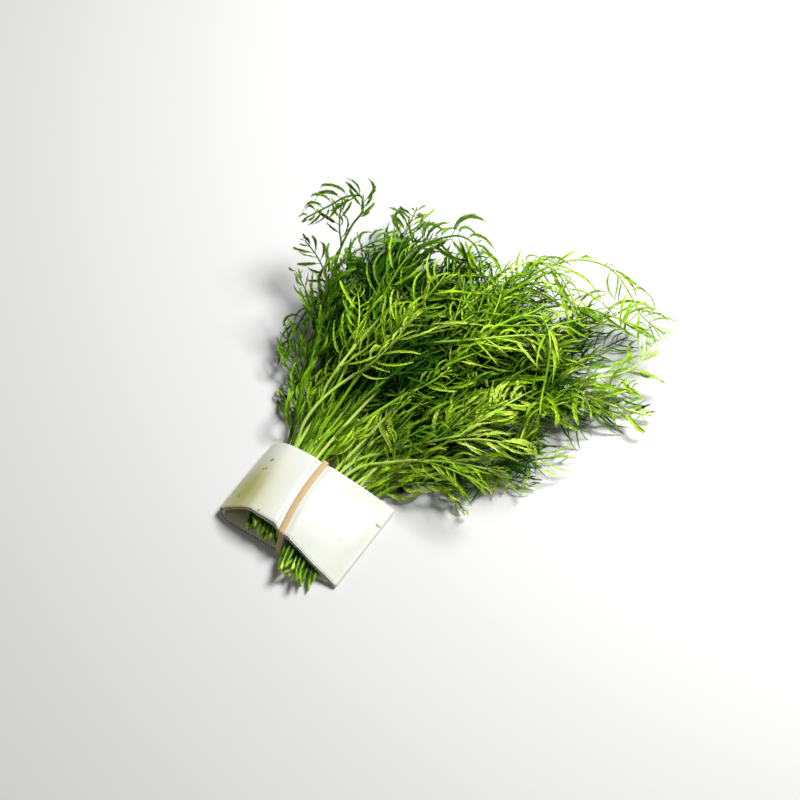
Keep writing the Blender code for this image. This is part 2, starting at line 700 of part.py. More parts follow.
def grow_leaf(bm, end, branch):
    """Grow a side frond out of half of the stem's side that faces it, which makes it three-sided."""
    if branch is None:
        return
    leaf, outward = branch
    side = side_facing(end, Vector(outward))
    half = bmesh.utils.face_split(side, side.verts[0], side.verts[2])[0]
    half.normal_update()
    grow(bm, half, leaf, 1)


def make_shoot(name, stem, material):
    """One leafy shoot as a single solid, grown from the length of stem at its cut end."""
    bm = bmesh.new()
    start, joint = Vector(stem.points[0]), Vector(stem.points[1])
    ahead = (joint - start).normalized()
    spin = ahead.to_track_quat("Z", "Y").to_matrix().to_4x4() @ Matrix.Rotation(math.pi / 4, 4, "Z")
    bmesh.ops.create_cone(bm, cap_ends=True, segments=STEM_SIDES, radius1=STEM_RADIUS, radius2=STEM_RADIUS,
                          depth=(joint - start).length, matrix=Matrix.Translation((start + joint) / 2) @ spin)
    bm.normal_update()
    cap = max(bm.faces, key=lambda face: face.normal.dot(ahead))
    grow(bm, cap, stem, 2)
    return finish_solid(name, bm, material)


def principled(name, colour, roughness):
    """A plain finish for one sub-part."""
    material = bpy.data.materials.new(name)
    material.use_nodes = True
    shader = material.node_tree.nodes["Principled BSDF"]
    shader.inputs["Base Color"].default_value = (*colour, 1.0)
    shader.inputs["Roughness"].default_value = roughness
    shader.inputs["Metallic"].default_value = 0.0
    return material


COLLECTION = "acacia_shoot_bunch"


def clear_scene():
    """Start from an empty scene with one collection for the bunch."""
    for thing in list(bpy.data.objects):
        bpy.data.objects.remove(thing, do_unlink=True)
    bunch = bpy.data.collections.new(COLLECTION)
    bpy.context.scene.collection.children.link(bunch)


def centre_on_floor(pieces):
    """Hang every piece on one empty, so that the middle of the bunch stands over the origin."""
    corners = np.array([vert.co for piece in pieces for vert in piece.data.vertices])
    low, high = corners.min(axis=0), corners.max(axis=0)
    holder = bpy.data.objects.new("bunch_origin", None)
    bpy.data.collections[COLLECTION].objects.link(holder)
    holder.location = (-(low[0] + high[0]) / 2, -(low[1] + high[1]) / 2, -low[2])
    for piece in pieces:
        piece.parent = holder
    print("size in millimetres:", np.round((high - low) / MM, 1), "lowest and highest:", low / MM, high / MM)


def main():
    clear_scene()
    sheath_white = principled("sheath_white", (0.84, 0.83, 0.66), 0.38)
    band_tan = principled("band_tan", (0.62, 0.42, 0.23), 0.55)
    leaf_green = principled("leaf_green", (0.20, 0.40, 0.04), 0.5)
    pieces = [make_sleeve(sheath_white), make_band(band_tan)]
    for number, stem in enumerate(plan_bunch(), start=1):
        pieces.append(make_shoot(f"shoot_{number:02d}", stem, leaf_green))
    centre_on_floor(pieces)


main()
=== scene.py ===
# %% [markdown]
# # A bunch of young acacia shoots
#
# These are the soft tips of a climbing acacia, cut as a herb. Thirty-five are laid side by side, a piece of
# white banana sheath is pressed round their stems, and one rubber band holds it all. The bunch lies flat.
#
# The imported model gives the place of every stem, frond and pinna as plain solids. This file repeats the way
# those solids were laid out and then grows the fine surface on the same lines: round stems, feathery pinnae
# with their folded leaflets, the waxy sheath with its air cells, and the rubber band.

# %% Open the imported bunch
import math
import random

import bpy
import numpy as np
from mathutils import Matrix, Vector


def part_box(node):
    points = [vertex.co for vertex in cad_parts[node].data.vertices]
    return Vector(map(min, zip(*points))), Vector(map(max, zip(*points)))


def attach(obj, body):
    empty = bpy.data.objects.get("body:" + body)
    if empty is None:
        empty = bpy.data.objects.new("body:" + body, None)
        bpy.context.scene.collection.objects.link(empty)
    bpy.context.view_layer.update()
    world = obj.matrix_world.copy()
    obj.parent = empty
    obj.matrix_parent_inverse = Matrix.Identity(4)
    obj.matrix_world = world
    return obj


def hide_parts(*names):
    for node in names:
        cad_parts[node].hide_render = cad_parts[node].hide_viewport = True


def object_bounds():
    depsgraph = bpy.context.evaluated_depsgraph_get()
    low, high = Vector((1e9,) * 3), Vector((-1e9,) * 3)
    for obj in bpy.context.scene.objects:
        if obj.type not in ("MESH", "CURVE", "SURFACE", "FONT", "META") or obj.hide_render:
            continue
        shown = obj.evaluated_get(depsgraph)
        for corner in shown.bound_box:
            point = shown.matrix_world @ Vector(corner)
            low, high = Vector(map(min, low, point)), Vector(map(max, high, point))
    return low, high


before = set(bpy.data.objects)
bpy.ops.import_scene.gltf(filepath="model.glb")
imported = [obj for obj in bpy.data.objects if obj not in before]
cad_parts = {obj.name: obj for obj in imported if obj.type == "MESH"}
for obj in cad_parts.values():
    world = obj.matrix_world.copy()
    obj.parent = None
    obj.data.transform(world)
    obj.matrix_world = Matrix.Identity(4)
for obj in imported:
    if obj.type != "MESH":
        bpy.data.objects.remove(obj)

CAD_BOX = [[float(value) for value in corner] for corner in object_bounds()]
print("packed nodes:", len(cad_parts), "box:", CAD_BOX)

# %% [markdown]
# ## Sizes
#
# All shapes are worked out in millimetres, in the bunch's own plane: x runs along the sleeve from the cut
# ends to the tips, y to its left, and z up from the surface. The names and values are those of the packed
# model, because each fine piece has to lie on its plain one. Only at the end is a shape moved onto the
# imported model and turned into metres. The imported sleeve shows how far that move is: its right fold and its
# upper mouth are known in both. The sizes of stems, fronds and pinnae stand further on, where each is first
# needed.

# %% Sizes of the sleeve
MM = 0.001
SEED = 41
UP = np.array([0.0, 0.0, 1.0])
WALL = 2.4
FOLD_RIGHT_Y = -42.5
FOLD_LEFT_Y = 44.5
FOLD_RIGHT_Z = 2.5
FOLD_LEFT_Z = 5.0
CROWN_Y = 24.0
CROWN_Z = 18.0
FALL_RIGHT = 1.85
FALL_LEFT_LOWER = 1.4
FALL_LEFT_UPPER = 2.6
FLAT_REACH = 36.0
BULGE = 1.0
LOWER_MOUTH_X = 2.0
LOWER_MOUTH_LEAN = 0.5
UPPER_MOUTH_X = 61.5
UPPER_MOUTH_SKEW = 0.08
FOLD_NOSE = 1.5
INNER_FOLD_RIGHT_Y = -35.5
INNER_FOLD_LEFT_Y = 40.5

sheath_low, sheath_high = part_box("sheath")
MOVE = Vector((
    sheath_high[0] - (UPPER_MOUTH_X - UPPER_MOUTH_SKEW * FOLD_RIGHT_Y) * MM,
    sheath_low[1] - FOLD_RIGHT_Y * MM,
    0.0,
))
print("move onto the packed model:", [round(value, 4) for value in MOVE])

# %% Sizes of the band and its channel
BAND_WIDTH = 3.5
BAND_THICK = 1.3
BAND_START_Y = -2.0
BAND_END_Y = 6.3
BAND_BOW = 2.4
CHANNEL_FLAT = 2.6
CHANNEL_EDGE = 6.4
CHANNEL_BELOW = 1.8
CHANNEL_ABOVE = 0.9
FIT_GAP = 0.3

print("the band is", BAND_WIDTH, "mm wide and", BAND_THICK, "mm thick")

# %% [markdown]
# ## Small helpers
#
# Stalks, pinnae, sheath and band are all built from places and directions, so a few short rules serve the
# whole file: a direction of length one, a value part of the way between two, and a smooth rise.

# %% Directions and shares
def unit(vector):
    """One vector at length one."""
    return vector / np.linalg.norm(vector)


def units(vectors):
    """Many vectors at length one."""
    return vectors / np.linalg.norm(vectors, axis=-1, keepdims=True)


def mix(first, second, share):
    """What lies at a share of the way from the first to the second."""
    return first + (second - first) * share


def share_between(value, low, high):
    """How far values have come from a low to a high one, from 0 to 1."""
    return np.clip((value - low) / (high - low), 0, 1)


def between(at, places, rows):
    """The rows that lie at fractional places among the given ones."""
    return np.stack([np.interp(at, places, rows[:, axis]) for axis in range(3)], axis=-1)


def ease(share):
    """A smooth rise from 0 to 1."""
    share = min(max(share, 0.0), 1.0)
    return share * share * (3 - 2 * share)


print("a smooth rise is halfway up at a share of 0.5:", ease(0.5))

# %% [markdown]
# ## The shape of the sleeve
#
# The sheath is soft, so the stems and the band shape it: its upper face falls in one curve from a crown on
# the left to each fold, and the band presses a channel along it. A few height formulas say all of that.
# They could be replaced by a cloth simulation, but the stems have to know the height of the wall above and
# below them, and a formula can be asked for it anywhere.

# %% Height of the sleeve's faces
def band_y(x):
    """Where the rubber band lies across the sleeve."""
    share = x / UPPER_MOUTH_X
    bow = BAND_BOW * 4 * share * (1 - share)
    return mix(BAND_START_Y, BAND_END_Y, share) + max(bow, 0.0)


def channel(x, y):
    """How deep the band's channel is here, from 0 to 1."""
    away = abs(y - band_y(x))
    return 1 - ease((away - CHANNEL_FLAT) / (CHANNEL_EDGE - CHANNEL_FLAT))


def roof_z(x, y):
    """Height of the upper face from fold to fold: a ridge at the lower mouth, rounder at the upper."""
    if y < CROWN_Y:
        fall = (CROWN_Y - y) / (CROWN_Y - FOLD_RIGHT_Y)
        return CROWN_Z - (CROWN_Z - FOLD_RIGHT_Z) * fall ** FALL_RIGHT
    fall = (y - CROWN_Y) / (FOLD_LEFT_Y - CROWN_Y)
    bend = mix(FALL_LEFT_LOWER, FALL_LEFT_UPPER, ease(x / UPPER_MOUTH_X))
    return CROWN_Z - (CROWN_Z - FOLD_LEFT_Z) * fall ** bend


def outer_top(x, y):
    """Height of the sleeve's outside above, with its bulge and the band's channel."""
    pressed = channel(x, y)
    plain = roof_z(x, y) * (1 - pressed) + roof_z(x, band_y(x)) * pressed
    share = min(max(x / UPPER_MOUTH_X, 0.0), 1.0)
    swell = BULGE * math.sin(math.pi * share) * plain / CROWN_Z
    return plain + swell - CHANNEL_ABOVE * pressed


def outer_bottom(x, y):
    """Height of the sleeve's outside below: flat, but for the band's channel and the turn up to each fold."""
    fold_y, fold_z = (FOLD_LEFT_Y, FOLD_LEFT_Z) if y > 0 else (-FOLD_RIGHT_Y, FOLD_RIGHT_Z)
    turn = max(abs(y) - FLAT_REACH, 0.0) / (fold_y - FLAT_REACH)
    return (fold_z - 1.0) * turn ** 2 + CHANNEL_BELOW * channel(x, y)


print("crown above the surface:", round(outer_top(30.0, CROWN_Y), 1), "mm")

# %% [markdown]
# ## Room for every stalk
#
# Thirty-five shoots cross over each other without passing through each other. Each stalk is laid one length
# at a time, and a length is only kept where it is clear of all those laid before it. Here the whole bunch
# can be tested at once, because the lengths are kept in arrays.

# %% The lengths laid so far
FLOOR_GAP = 0.15
CLEAR_GAP = 0.4
OWN_GAP = 0.15
OWN_SHARE_MOST = 0.9


class Space:
    """The stalks and pinnae placed so far, which the next one has to stay clear of."""

    def __init__(self, room=9000):
        self.start = np.zeros((room, 3))
        self.end = np.zeros((room, 3))
        self.start_radius = np.zeros(room)
        self.end_radius = np.zeros(room)
        self.owner = np.zeros(room, dtype=int)
        self.count = 0

    def add(self, start, end, start_radius, end_radius, owner):
        """Keep one more length."""
        self.start[self.count] = start
        self.end[self.count] = end
        self.start_radius[self.count] = start_radius
        self.end_radius[self.count] = end_radius
        self.owner[self.count] = owner
        self.count += 1

    def room_beside(self, start, end, start_radius, end_radius, chosen):
        """The least space between a new length and the chosen ones."""
        if not chosen.any():
            return math.inf
        near, far = self.start[:self.count][chosen], self.end[:self.count][chosen]
        along, across = end - start, far - near
        apart = start - near
        own_square = along @ along
        square = (across * across).sum(1)
        shared = across @ along
        from_near = (across * apart).sum(1)
        lead = apart @ along
        spread = np.maximum(own_square * square - shared * shared, 1e-9)
        here = np.clip((shared * from_near - lead * square) / spread, 0, 1)
        there = np.clip((shared * here + from_near) / square, 0, 1)
        here = np.clip((shared * there - lead) / own_square, 0, 1)
        gap = apart + here[:, None] * along - there[:, None] * across
        own_radius = mix(start_radius, end_radius, here)
        near_radius = self.start_radius[:self.count][chosen]
        far_radius = self.end_radius[:self.count][chosen]
        return (np.linalg.norm(gap, axis=1) - own_radius - mix(near_radius, far_radius, there)).min()

    def is_clear(self, start, end, start_radius, end_radius, owner, own_from):
        """Whether a new length misses the ground, every other shoot, and its own shoot past own_from."""
        if min(start[2] - start_radius, end[2] - end_radius) < FLOOR_GAP:
            return False
        owners = self.owner[:self.count]
        if self.room_beside(start, end, start_radius, end_radius, owners != owner) < CLEAR_GAP:
            return False
        share = min(own_from / np.linalg.norm(end - start), OWN_SHARE_MOST)
        later, later_radius = mix(start, end, share), mix(start_radius, end_radius, share)
        return self.room_beside(later, end, later_radius, end_radius, owners == owner) >= OWN_GAP


print("room kept between two shoots:", CLEAR_GAP, "mm")

# %% A stalk and what grows from it
def carried_up(points, up):
    """An upward direction for each joint, carried along without twisting."""
    carried = []
    for index in range(len(points)):
        before, after = points[max(index - 1, 0)], points[min(index + 1, len(points) - 1)]
        ahead = unit(after - before)
        up = unit(up - ahead * (up @ ahead))
        carried.append(up)
    return carried


class Strand:
    """A stalk's joints: places, radii and upward directions, with what grows from each joint."""

    def __init__(self, points, radii, up):
        self.points = points
        self.radii = radii
        self.up = carried_up(points, up)
        self.branches = {}
        self.pairs = {}

    def ahead(self, index):
        """Direction of the stalk at a joint."""
        before = self.points[max(index - 1, 0)]
        after = self.points[min(index + 1, len(self.points) - 1)]
        return unit(after - before)


print("a strand keeps its joints, its branches and its pairs of pinnae")

# %% Ways round a stalk that is in the way
SHORTEST_LENGTH = 3.0
SIDESTEP_KEPT = 0.7
JOINT_ROOM = 0.5
HAIR = 0.01
SIDESTEPS = [np.zeros(3)] + [
    reach * np.array([0.0, math.cos(turn), math.sin(turn)])
    for reach in (2.2, 4.4, 7.0)
    for turn in np.radians((90, 270, 0, 180, 45, 135, 225, 315))
]


def thread(space, route, radii, owner, own_from, least_x):
    """Follow the wanted points, and step aside where another stalk is in the way."""
    placed = [route[0]]
    aside = np.zeros(3)
    for index in range(1, len(route)):
        free = None
        for sidestep in SIDESTEPS:
            spot = route[index] + aside + sidestep
            spot[2] = max(spot[2], radii[index] + FLOOR_GAP + HAIR)
            if spot[0] < least_x or np.linalg.norm(spot - placed[-1]) < SHORTEST_LENGTH:
                continue
            skip = own_from if index == 1 else 2 * radii[index - 1] + JOINT_ROOM
            if space.is_clear(placed[-1], spot, radii[index - 1], radii[index], owner, skip):
                free = spot
                break
        if free is None:
            break
        aside = (free - route[index]) * SIDESTEP_KEPT
        space.add(placed[-1], free, radii[index - 1], radii[index], owner)
        placed.append(free)
    return placed


def smooth_route(before, points, per_span=12):
    """Closely spaced points on a smooth curve through the given ones, entering from before."""
    knots = [before] + [np.array(point, dtype=float) for point in points]
    knots.append(2 * knots[-1] - knots[-2])
    dense = []
    for a, b, c, d in zip(knots, knots[1:], knots[2:], knots[3:]):
        for step in range(per_span):
            t = step / per_span
            dense.append(0.5 * (2 * b + (c - a) * t + (2 * a - 5 * b + 4 * c - d) * t ** 2
                                + (3 * b - a - 3 * c + d) * t ** 3))
    return np.array(dense + [knots[-2]])


def places_along(dense, distances):
    """Points at the given distances along a closely spaced route."""
    lengths = np.concatenate([[0], np.cumsum(np.linalg.norm(np.diff(dense, axis=0), axis=1))])
    return list(between(distances, lengths, dense))


print("ways to step aside:", len(SIDESTEPS))

# %% [markdown]
# ## The lanes and the fan
#
# Inside the sleeve the stems lie in lanes beside the band, in up to four layers. Beyond the upper mouth
# twelve of them follow the paths that can be followed in the picture. The others fill the fan between and
# below them, each turned to the bearing of its lane.

# %% Lanes in the sleeve
STEM_RADIUS = 1.1
LANE_FIRST = 4.6
LANE_PITCH = 3.3
LAYER_PITCH = 2.75
LAY_GAP = 0.4
LANE_SPREAD_BACK = 0.86
LANE_SPREAD_FRONT = 1.1


def lane_spot(offset, layer, x):
    """Middle of a stem in the sleeve, by its distance from the band and its layer."""
    spread = LANE_SPREAD_BACK + (LANE_SPREAD_FRONT - LANE_SPREAD_BACK) * x / UPPER_MOUTH_X
    y = band_y(x) + offset * spread
    floor = max(outer_bottom(x, y + aside) for aside in (-STEM_RADIUS, 0.0, STEM_RADIUS)) + WALL
    return np.array([x, y, floor + LAY_GAP + STEM_RADIUS + layer * LAYER_PITCH])


def lane_offset(lane):
    """Distance of a numbered lane from the band: positive to its left, negative to its right."""
    return math.copysign(LANE_FIRST + LANE_PITCH * (abs(lane) - 1), lane)


print("lanes either side of the band reach", round(lane_offset(9), 1), "mm out")

# %% Shoots that can be followed
# Shoots that show: lane, layer, bare length, leaf joints, pinna length, and the places that the stem passes
SHOWN_SHOOTS = (
    (8, 0, 45, 3, 14, ((85, 46, 8), (109, 58, 12), (134, 66, 20), (151, 67, 27), (152, 76, 25),
                       (138, 79, 19), (121, 77, 12), (106, 73, 8))),
    (7, 1, 60, 3, 13, ((90, 47, 13), (123, 59, 20), (153, 71, 28), (173, 78, 38), (189, 81, 48),
                       (201, 79, 55), (209, 83, 59), (207, 91, 59), (196, 98, 56), (179, 109, 50))),
    (5, 2, 84, 4, 19, ((95, 32, 18), (130, 38, 24), (166, 45, 30), (193, 50, 34), (215, 41, 37),
                       (231, 28, 38), (235, 18, 36), (231, 8, 30), (226, 2, 23))),
    (6, 3, 52, 4, 20, ((80, 33, 21), (107, 28, 26), (126, 18, 30), (151, 4, 34), (170, -20, 37),
                       (192, -44, 36), (212, -66, 31))),
    (2, 2, 92, 4, 18, ((90, 12, 16), (130, 6, 24), (173, -1, 30), (223, -12, 33), (244, -20, 34),
                       (248, -38, 33), (241, -54, 28), (234, -65, 22))),
    (-1, 1, 88, 4, 17, ((90, -3, 14), (130, -8, 20), (191, -12, 26), (229, -22, 28), (252, -32, 30),
                       (268, -48, 31), (271, -66, 30), (266, -81, 26), (258, -98, 20), (259, -115, 14))),
    (-3, 1, 72, 4, 17, ((95, -14, 12), (140, -19, 17), (182, -25, 21), (218, -38, 24), (239, -60, 25),
                       (247, -82, 22), (254, -106, 17))),
    (1, 1, 96, 4, 15, ((90, 6, 18), (143, -16, 28), (190, -30, 35), (210, -45, 37), (206, -59, 36),
                       (184, -72, 31), (158, -81, 22), (136, -82, 14), (114, -77, 8), (95, -70, 5))),
    (-5, 1, 52, 4, 16, ((95, -26, 10), (130, -38, 13), (168, -52, 15), (190, -76, 14), (206, -94, 14),
                       (220, -107, 14), (234, -112, 15), (248, -110, 17))),
    (-6, 0, 44, 4, 15, ((90, -32, 8), (136, -52, 12), (172, -68, 13), (191, -88, 11), (200, -113, 7),
                       (209, -136, 4))),
    (-7, 0, 24, 4, 16, ((80, -28, 10), (98, -39, 17), (120, -50, 22), (141, -59, 25), (161, -66, 25),
                       (176, -72, 22))),
    (-9, 0, 8, 3, 12, ((68, -29.5, 3.9), (80, -36, 6), (90, -48, 8), (93, -62, 7), (88, -77, 4))),
)
print("shoots with a path of their own:", len(SHOWN_SHOOTS))

# %% Shoots that fill the fan
# Shoots that fill the fan: lane, layer, height that each rises to, and degrees off its lane's bearing
FILLING_SHOOTS = (
    (7, 0, 5, 4), (6, 0, 14, 0), (5, 0, 4, -3), (4, 0, 13, 1), (3, 0, 4, -1), (2, 0, 15, -2), (1, 0, 4, -7),
    (-1, 0, 9, 7), (-2, 0, 16, 1), (-3, 0, 4, 1), (-4, 0, 13, 0), (-5, 0, 4, -3), (-8, 0, 6, -15),
    (5, 1, 26, -3), (3, 1, 22, -6), (-2, 1, 27, 6), (-4, 1, 20, -2), (-6, 1, 15, -12),
    (4, 2, 36, -10), (3, 2, 32, -22), (6, 2, 30, -11), (-2, 2, 22, -34), (-3, 2, 21, -40),
)
BARE_LOWEST = (16, 42)
BARE_ABOVE = (45, 80)
FILLING_PINNA = (14, 20)
FAN_MIDDLE = -6.0
FAN_LEFT = 0.93
FAN_RIGHT = 0.85
FAN_REACH = (0.84, 0.98)
FAN_SWAY = (-9.0, 6.0)
FAN_LEGS = 9
TURNED_BY = 0.25
RISEN_BY = 0.5
DROOP_FROM = 0.6
DROOP_SHARE = 0.5
REACH_BEARINGS = (-79, -66, -55, -45, -38, -30, -20, -10, 0, 10, 22, 35, 45, 57)
REACH_LENGTHS = (44, 80, 110, 150, 195, 222, 218, 200, 184, 190, 174, 170, 140, 86)


def fan_points(lane, layer, height, stray, draw):
    """Places that a filling shoot passes: it turns to its bearing, rises, and droops at its end."""
    offset = lane_offset(lane)
    bearing = FAN_MIDDLE + offset * (FAN_LEFT if offset > 0 else FAN_RIGHT) + stray
    reach = np.interp(bearing, REACH_BEARINGS, REACH_LENGTHS) * draw.uniform(*FAN_REACH)
    sway = draw.uniform(*FAN_SWAY)
    spot = lane_spot(offset, layer, UPPER_MOUTH_X)
    base = spot[2]
    lane_bearing = math.degrees(math.atan2(BAND_END_Y - BAND_START_Y, UPPER_MOUTH_X))
    points = []
    for leg in range(1, FAN_LEGS + 1):
        share = leg / FAN_LEGS
        heading = math.radians(mix(lane_bearing, bearing, ease(share / TURNED_BY)) + sway * share * share)
        spot = spot + reach / FAN_LEGS * np.array([math.cos(heading), math.sin(heading), 0])
        rise = (height - base) * ease(share / RISEN_BY)
        droop = DROOP_SHARE * max(height - base, 0.0) * ease((share - DROOP_FROM) / (1 - DROOP_FROM))
        spot[2] = max(base + rise - droop, STEM_RADIUS + FLOOR_GAP)
        points.append(spot.copy())
    return points


print("shoots that fill the fan:", len(FILLING_SHOOTS))

# %% [markdown]
# ## Stems, fronds and pinnae
#
# A shoot is a stem that ends in a frond, with side fronds turned round it by the golden angle. A frond is a
# stalk with a pair of narrow pinnae at each joint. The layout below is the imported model's own, draw by
# draw, so the fine shoots lie on their solids.

# %% Laying a stem
STEM_TIP_RADIUS = 0.55
CUT_ENDS_LEFT = (3.0, 11.0)
CUT_ENDS_RIGHT = (-10.0, 0.0)
SLEEVE_JOINTS_X = (20.0, 42.0)
STEM_STEP = 14.5
TIP_FROND_SHARE = 0.42
TIP_FROND_LONGEST = 62.0
PAIR_STEP = 11.0
BARE_MOST = 0.5


def plan_stem(space, owner, lane, layer, bare, points, draw):
    """Lay one stem from its cut end, through the sleeve and along its places to its last frond's tip."""
    offset = lane_offset(lane)
    cut_x = draw.uniform(*CUT_ENDS_LEFT) if lane > 0 else draw.uniform(*CUT_ENDS_RIGHT)
    inside = [lane_spot(offset, layer, x) for x in (cut_x, *SLEEVE_JOINTS_X, UPPER_MOUTH_X)]
    dense = smooth_route(inside[2], [inside[3]] + list(points))
    length = np.linalg.norm(np.diff(dense, axis=0), axis=1).sum()
    frond = min(TIP_FROND_SHARE * length, TIP_FROND_LONGEST)
    stem_joints = max(round((length - frond) / STEM_STEP), 1)
    pair_joints = max(round(frond / PAIR_STEP), 2)
    stem_end = length - frond
    distances = [stem_end * step / stem_joints for step in range(1, stem_joints + 1)]
    distances += [stem_end + frond * step / pair_joints for step in range(1, pair_joints + 1)]
    route = inside + places_along(dense, distances)
    radii = stem_radii(len(inside), stem_joints, pair_joints)
    for index in range(3):
        space.add(inside[index], inside[index + 1], STEM_RADIUS, STEM_RADIUS, owner)
    outside = thread(space, route[3:], radii[3:], owner, 2 * STEM_RADIUS + JOINT_ROOM, -math.inf)
    stem = Strand(inside[:3] + outside, radii, UP)
    bare = min(bare, BARE_MOST * stem_end)
    first_leaf = 3 + max(round(bare / (stem_end / stem_joints)), 1)
    stem.leaf_joints = list(range(first_leaf, 3 + stem_joints))
    stem.pair_joints = list(range(4 + stem_joints, len(stem.points) - 1))
    return stem


def stem_radii(inside, stem_joints, pair_joints):
    """Radius at each joint: full in the sleeve, slimmer to the tip."""
    outside = stem_joints + pair_joints
    slim = [STEM_RADIUS + (STEM_TIP_RADIUS - STEM_RADIUS) * step / outside for step in range(1, outside + 1)]
    return [STEM_RADIUS] * inside + slim


print("a stem is", 2 * STEM_RADIUS, "mm thick in the sleeve")

# %% Laying a side frond
FROND_RADIUS = 0.62
FROND_TIP_RADIUS = 0.42
FROND_SPREAD = (18, 36)
FROND_TURN = 0.10
FROND_SAG = 0.10
FROND_CURL = 0.26
FROND_TILT = 0.5
FROND_TURNS = (0, 50, -50, 100, -100, 150)
FROND_LEAST_Z = (2.0, 1.2)
FROND_STALK_CLEAR = 4.6
HIGH_STEM_Z = 28.0
HIGH_STEM_RISE = 0.1
LEAF_FREE_X = 67.5


def plan_leaf(space, owner, stem, joint, roll, pairs, draw):
    """Lay one side frond from a stem's joint, trying other sides of the stem if the first is taken."""
    ahead, up = stem.ahead(joint), stem.up[joint]
    side = np.cross(up, ahead)
    best = []
    for turn in FROND_TURNS:
        angle = roll + math.radians(turn)
        outward = side * math.cos(angle) + up * math.sin(angle)
        spread = math.radians(draw.uniform(*FROND_SPREAD))
        curl = draw.uniform(-FROND_CURL, FROND_CURL)
        heading = unit(ahead * math.cos(spread) + outward * math.sin(spread))
        route = [stem.points[joint]]
        for _ in range(pairs + 1):
            route.append(route[-1] + heading * PAIR_STEP)
            heading = unit(heading + FROND_TURN * ahead + curl * side - FROND_SAG * UP)
        radii = [FROND_RADIUS + (FROND_TIP_RADIUS - FROND_RADIUS) * k / (pairs + 1) for k in range(pairs + 2)]
        if route[1][2] < FROND_LEAST_Z[0] or route[2][2] < FROND_LEAST_Z[1]:
            continue
        if stem.points[joint][2] > HIGH_STEM_Z and outward[2] > HIGH_STEM_RISE:
            continue
        kept = space.count
        placed = thread(space, route, radii, owner, FROND_STALK_CLEAR, LEAF_FREE_X)
        if len(placed) > len(best):
            best, best_radii, best_outward = placed, radii, outward
        if len(placed) >= len(route) - 1:
            break
        space.count = kept
    if len(best) < 3:
        return
    if space.count == 0 or not np.array_equal(space.end[space.count - 1], best[-1]):
        for k in range(1, len(best)):
            space.add(best[k - 1], best[k], best_radii[k - 1], best_radii[k], owner)
    leaf = Strand(best, best_radii, unit(UP + FROND_TILT * draw.uniform(-1, 1) * side))
    leaf.leaf_joints = []
    leaf.pair_joints = list(range(1, len(best) - 1))
    stem.branches[joint] = (leaf, best_outward)


print("a side frond leaves its stem at", FROND_SPREAD, "degrees")

# %% Laying a pinna
PINNA_BASE_RADIUS = 0.9
PINNA_POINT_RADIUS = 0.08
PINNA_SWEEP = (16, 34)
PINNA_LIFT = (-0.25, 0.12)
PINNA_CLEAR = 3.4
PINNA_TRIES = [
    (shorten, tilt, turn)
    for shorten in (1.0, 0.72)
    for tilt, turn in ((0, 0), (0.3, 0), (-0.3, 0), (0.55, 8), (-0.5, 8), (0.2, 20), (-0.2, 20), (0, -14))
]


def plan_pinna(space, owner, strand, joint, sign, length, draw):
    """The tip of one pinna, swept forward from a joint, or None where there is no room for it."""
    ahead, up = strand.ahead(joint), strand.up[joint]
    side = np.cross(up, ahead) * sign
    base = strand.points[joint] + side * strand.radii[joint] * 0.5
    sweep = math.radians(draw.uniform(*PINNA_SWEEP))
    lift = draw.uniform(*PINNA_LIFT)
    for shorten, tilt, turn in PINNA_TRIES:
        angle = sweep + math.radians(turn)
        heading = unit(ahead * math.cos(angle) + side * math.sin(angle) + UP * (lift + tilt))
        tip = base + heading * length * shorten
        tip[2] = max(tip[2], PINNA_POINT_RADIUS + FLOOR_GAP + HAIR)
        if tip[0] < LEAF_FREE_X:
            continue
        if space.is_clear(base, tip, PINNA_BASE_RADIUS, PINNA_POINT_RADIUS, owner, PINNA_CLEAR):
            space.add(base, tip, PINNA_BASE_RADIUS, PINNA_POINT_RADIUS, owner)
            return tip
    return None


print("ways to lay a pinna:", len(PINNA_TRIES))

# %% Pinnae for every frond
END_LENGTH, MIDDLE_LONGER = 0.55, 0.45
LENGTH_SCATTER = (0.85, 1.15)


def strands_of(stem):
    """A stem and its side fronds."""
    return [stem] + [leaf for leaf, _ in stem.branches.values()]


def plan_pinnae(space, stems, lengths, draw):
    """Give every frond joint its pair of pinnae, joint by joint round all shoots, so that none starves."""
    deepest = max(len(strand.pair_joints) for stem in stems for strand in strands_of(stem))
    for rank in range(deepest):
        for owner, stem in enumerate(stems):
            for strand in strands_of(stem):
                if rank >= len(strand.pair_joints):
                    continue
                joint = strand.pair_joints[rank]
                share = (rank + 1) / (len(strand.pair_joints) + 1)
                length = lengths[owner] * (END_LENGTH + MIDDLE_LONGER * math.sin(math.pi * share))
                length = length * draw.uniform(*LENGTH_SCATTER)
                strand.pairs[joint] = [plan_pinna(space, owner, strand, joint, sign, length, draw)
                                       for sign in (1, -1)]


print("pinnae are laid joint by joint, round all shoots")

# %% Laying the whole bunch
SHOWN_FRONDS = 5
FILLING_FRONDS = 4
GOLDEN_TURN = math.radians(137.5)


